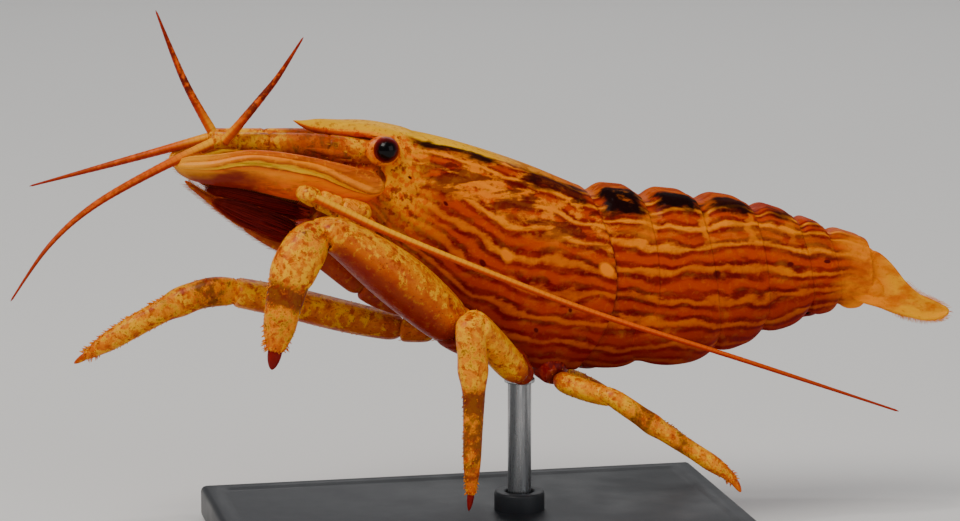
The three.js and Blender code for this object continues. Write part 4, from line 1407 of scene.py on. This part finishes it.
mouthLimb = {"path": [(1.7, -12.6, 36.8), (1.6, -18.5, 34.8), (1.5, -24.6, 37.3), (1.4, -30, 41.0),
                      (1.2, -34.6, 44.4)], "girth": [1.1, 0.95, 0.8, 0.66, 0.22],
             "joints": [(0, 0.34), (0.32, 0.68), (0.66, 1.0)], "hairs": 80}
fanBristles = 360
feeding = [
    {"arm": [(2.2, -10.2, 36.6), (3.9, -15.5, 37.4), (4.1, -20.6, 40.6)], "girth": [1.2, 1.45, 1.15],
     "brush": [(3.9, -20.6, 41.0), (3.3, -26, 42.4), (2.5, -32.8, 44.2)], "widths": [1.3, 1.5, 0.45],
     "palm": [0.9, 1.3, 1.2, 0.8]},
    {"arm": [(3.4, -5.5, 28.4), (5.0, -13, 31.2), (5.5, -20.4, 36.4)], "girth": [1.2, 1.5, 1.15],
     "brush": [(4.9, -20.8, 38.0), (4.2, -26, 40.0), (3.2, -32.2, 42.8)], "widths": [1.4, 1.6, 0.45],
     "palm": [1.5, 2.3, 1.9, 1.1]},
]

for sideName, side in sides.items():
    route = traceRoute(flip(mouthLimb["path"], side))
    parts, hairs = [], []
    for span in mouthLimb["joints"]:
        girth = spread(mouthLimb["girth"], span)
        parts.append(fineTube("segment", route, girth, [g * 0.75 for g in girth], span=span, sideCount=16,
                              rings=14, ends=(0.12, 0.06), mark=(0.1, 0.15, 0.55)))
    for edge in (-1, 1):
        for k in range(mouthLimb["hairs"]):
            t = 0.3 + 0.68 * k / (mouthLimb["hairs"] - 1)
            centre, tangent = route(t)
            broad, deep = sideways(tangent, (0, 0, 1))
            root = centre + broad * edge * smoothRow(mouthLimb["girth"], t) * 0.8
            aim = (broad * edge * 0.55 + tangent + deep * random.uniform(-0.3, 0.3)).normalized()
            hairs.append((root, root + aim * random.uniform(0.7, 1.1), (0, 0, 0), 0.045, (0, 0.5, 0)))
    handOver(joinPieces(f"maxilliped{sideName.title()}", parts), "limb", finishes["mottledLimb"],
             f"maxilliped_{sideName}")
    handBristles(f"maxillipedHairs{sideName.title()}", hairs)


def bristleFan(brush, widths, side, count):
    route = traceRoute(flip(brush, side))
    strands = []
    for k in range(count):
        start = 0.02 + 0.36 * (k / count)
        centre, tangent = route(start)
        broad, deep = sideways(tangent, (0, 0, 1))
        angle = k * goldenTurn
        out = broad * math.cos(angle) + deep * math.sin(angle) * 0.75
        root = centre + out * smoothRow(widths, start) * random.uniform(0.35, 0.72)
        reach = min(1.0, start + random.uniform(0.6, 0.95))
        tip = route(reach)[0] + out * random.uniform(0.15, 1.0) * smoothRow(widths, reach) * 0.9
        strands.append((root, tip, out * smoothRow(widths, 0.5) * 0.42, random.uniform(0.07, 0.11),
                        (0, 0, 0)))
    return strands


for pair, plan in enumerate(feeding, 1):
    for sideName, side in sides.items():
        arm = traceRoute(flip(plan["arm"], side))
        depths = [girth * 0.72 for girth in plan["girth"]]
        parts = []
        for span in ((0, 0.2), (0.17, 0.62), (0.59, 1.0)):
            parts.append(segmentTube(arm, plan["girth"], depths, span, (0, 0, 1), 16,
                                     lambda t, angle: (0.1, 0.1, 0.8)))
        palm = traceRoute(flip(plan["brush"], side))
        parts.append(fineTube("palm", palm, plan["palm"], [0.6, 0.75, 0.7, 0.5], span=(-0.02, 0.26),
                              sideCount=16, rings=14, ends=(0.2, 0.2), mark=(0.1, 0.0, 0.9)))
        handOver(joinPieces(f"feedingArm{pair}{sideName.title()}", parts), "limb", finishes["mottledLimb"],
                 f"cheliped_{pair}_{sideName}")
        strands = bristleFan(plan["brush"], plan["widths"], side, fanBristles)
        handBristles(f"bristleFan{pair}{sideName.title()}", strands, f"fan_{pair}_{sideName}", rings=5)
print("feeding limbs and fans drawn")


# five pairs of swimmerets, folded forward in the channel under the abdomen

for pair in range(1, 6):
    y = body["borders"][pair][1] - 3.2
    top, bottom, half = sectionAt(body["abdomen"], y)
    reach = 0.36 * half
    parts, hairs = [], []
    for side in sides.values():
        stem = traceRoute(flip([(reach, y + 0.9, bottom + 1.4), (reach, y + 0.2, bottom + 0.5),
                                (reach, y - 0.9, bottom + 0.15)], side))
        parts.append(fineTube("stem", stem, [0.5, 0.6, 0.45], [0.4, 0.45, 0.35], across=(1, 0, 0),
                              sideCount=12, rings=12))
        for outer in (0, 1):
            x = reach + (0.55 if outer else -0.35)
            path = flip([(x, y - 0.6, bottom + 0.15), (x, y - 2.2, bottom - 0.25 + 0.3 * outer),
                         (x * 0.96, y - 4.4, bottom + 0.1 + 0.3 * outer)], side)
            halves = [0.3, 0.62, 0.3]
            parts.append(blade("paddle", path, halves, (1, 0, 0.25 * side), 0.3, rounding=0.2, along=12,
                               wide=6))
            hairs += fringe(path, halves, (1, 0, 0.25 * side), (0.3, 1.0), 14, 0.6, radius=0.04)
    piece = joinPieces(f"swimmerets{pair}", parts)
    handOver(piece, "soft", finishes["softSkin"], f"swimmerets_{pair}")
    handBristles(f"swimmeretHairs{pair}", hairs)
print("swimmerets folded")


# the stand: a bevelled base with a socket, and one rod with a collar and a small saddle

stand = {"width": 0.038, "length": 0.062, "thickness": 0.004, "corner": 0.005, "edge": 0.0007, "rodY": 0.0048,
         "border": 0.0022, "slope": 0.0004, "sunk": 0.00025, "rodRadius": 0.0014, "rodTop": 0.0222,
         "rodEdge": 0.00012, "rodSunk": 0.0025, "rodFirst": 0.001, "collarDrop": 0.003,
         "socketRadius": 0.003, "socketTop": 0.006, "socketDepth": 0.0016, "socketEdge": 0.0003,
         # rise and growth of each step of the collar and the saddle
         "collar": [(0, 1.3), (0.0005, 1), (0, 0.84), (0.0012, 1), (0, 1.25), (0.0008, 1.08)]}


def pickTop(piece):                  # in edit mode: the faces that look straight up
    work = bmesh.from_edit_mesh(piece.data)
    for face in work.faces:
        face.select = face.normal.z > 0.9
    bmesh.update_edit_mesh(piece.data)


def roundEdges(piece, width, segments):
    rounded = piece.modifiers.new("rounded", "BEVEL")
    rounded.width = width
    rounded.segments = segments
    rounded.angle_limit = math.radians(40)
    bpy.ops.object.modifier_apply(modifier="rounded")


def standBase():
    freshSelection()
    bpy.ops.mesh.primitive_cube_add(size=1, location=(0, 0, stand["thickness"] / 2))
    plate = bpy.context.active_object
    plate.scale = (stand["width"], stand["length"], stand["thickness"])
    bpy.ops.object.transform_apply(location=True, rotation=False, scale=True)
    bpy.ops.object.mode_set(mode="EDIT")
    bpy.ops.mesh.select_all(action="DESELECT")
    work = bmesh.from_edit_mesh(plate.data)
    for line in work.edges:
        a, b = line.verts
        line.select = abs(a.co.z - b.co.z) > stand["thickness"] / 2
    bmesh.update_edit_mesh(plate.data)
    bpy.ops.mesh.bevel(offset=stand["corner"], segments=10, affect="EDGES")
    bpy.ops.mesh.select_all(action="DESELECT")
    pickTop(plate)
    bpy.ops.mesh.inset(thickness=stand["border"])
    bpy.ops.mesh.inset(thickness=stand["slope"])
    bpy.ops.transform.translate(value=(0, 0, -stand["sunk"]))
    bpy.ops.object.mode_set(mode="OBJECT")
    roundEdges(plate, stand["edge"], 3)

    freshSelection()
    height = stand["socketTop"] - stand["thickness"] + 0.001
    bpy.ops.mesh.primitive_cylinder_add(vertices=48, radius=stand["socketRadius"], depth=height,
                                        location=(0, stand["rodY"], stand["socketTop"] - height / 2))
    boss = bpy.context.active_object
    bpy.ops.object.mode_set(mode="EDIT")
    pickTop(boss)
    bpy.ops.mesh.inset(thickness=stand["socketRadius"] - stand["rodRadius"] * 1.18)
    bpy.ops.mesh.extrude_region_move(TRANSFORM_OT_translate={"value": (0, 0, -stand["socketDepth"])})
    bpy.ops.object.mode_set(mode="OBJECT")
    bpy.ops.object.transform_apply(location=True, rotation=True, scale=True)
    roundEdges(boss, stand["socketEdge"], 3)
    whole = joinPieces("standBase", [plate, boss])
    bpy.ops.object.shade_smooth_by_angle(angle=math.radians(35))
    return whole


def standRod():
    freshSelection()
    foot, first = stand["socketTop"] - stand["rodSunk"], stand["rodFirst"]
    bpy.ops.mesh.primitive_cylinder_add(vertices=40, radius=stand["rodRadius"], depth=first,
                                        location=(0, stand["rodY"], foot + first / 2))
    rod = bpy.context.active_object
    bpy.ops.object.mode_set(mode="EDIT")
    pickTop(rod)
    place = (0, stand["rodY"], 0)
    steps = [(stand["rodTop"] - stand["collarDrop"] - foot - first, 1)] + stand["collar"]
    for rise, growth in steps:           # the plain length, then the collar and the saddle
        bpy.ops.mesh.extrude_region_move(TRANSFORM_OT_translate={"value": (0, 0, rise)})
        bpy.ops.transform.resize(value=(growth, growth, 1), center_override=place)
    bpy.ops.object.mode_set(mode="OBJECT")
    bpy.ops.object.transform_apply(location=True, rotation=True, scale=True)
    roundEdges(rod, stand["rodEdge"], 2)
    rod.name = rod.data.name = "standRod"
    bpy.ops.object.shade_smooth_by_angle(angle=math.radians(35))
    return rod


handOver(standBase(), "base", finishes["satinBase"], "stand_base")
handOver(standRod(), "rod", finishes["brushedSteel"], "stand_rod")
print("stand made")


# floor and soft studio light

def plainFloor():
    freshSelection()
    bpy.ops.mesh.primitive_plane_add(size=8)
    floor = bpy.context.active_object
    floor.name = "floor"
    material = newMaterial("paleFloor", Roughness=0.9)
    cloud = noise(millimetres(), 0.004, detail=2)
    feed(Base_Color=mixed(cloud, paint(240, 238, 235), paint(245, 243, 240)))
    floor.data.materials.append(material)


studio = {
    "keyLight": {"place": (0.35, -0.45, 0.75), "power": 5.2, "size": 0.4, "tint": (1.0, 0.97, 0.93)},
    "fillLight": {"place": (0.7, 0.5, 0.35), "power": 1.5, "size": 0.6, "tint": (0.96, 0.98, 1.0)},
    "glintLight": {"place": (0.16, -0.06, 0.7), "power": 0.35, "size": 0.03, "tint": (1.0, 1.0, 1.0)},
    "backLight": {"place": (-0.6, 0.2, 0.5), "power": 0.9, "size": 0.5, "tint": (1.0, 1.0, 1.0)},
}
sky = {"tint": (0.9, 0.92, 0.95, 1), "strength": 0.27}


def softLight(name, place, power, size, tint):
    freshSelection()
    bpy.ops.object.light_add(type="AREA", location=place)
    lamp = bpy.context.active_object
    lamp.name = name
    lamp.data.energy = power
    lamp.data.size = size
    lamp.data.color = tint
    lamp.rotation_euler = (Vector(place) - Vector(view["aim"])).to_track_quat("Z", "Y").to_euler()


plainFloor()
for name, plan in studio.items():
    softLight(name, **plan)
world = bpy.data.worlds.new("studio")
bpy.context.scene.world = world
world.use_nodes = True
backdrop = world.node_tree.nodes["Background"]
backdrop.inputs["Color"].default_value = sky["tint"]
backdrop.inputs["Strength"].default_value = sky["strength"]
for mesh in blanks.values():
    bpy.data.meshes.remove(mesh)
print("studio lit")

freshSelection()
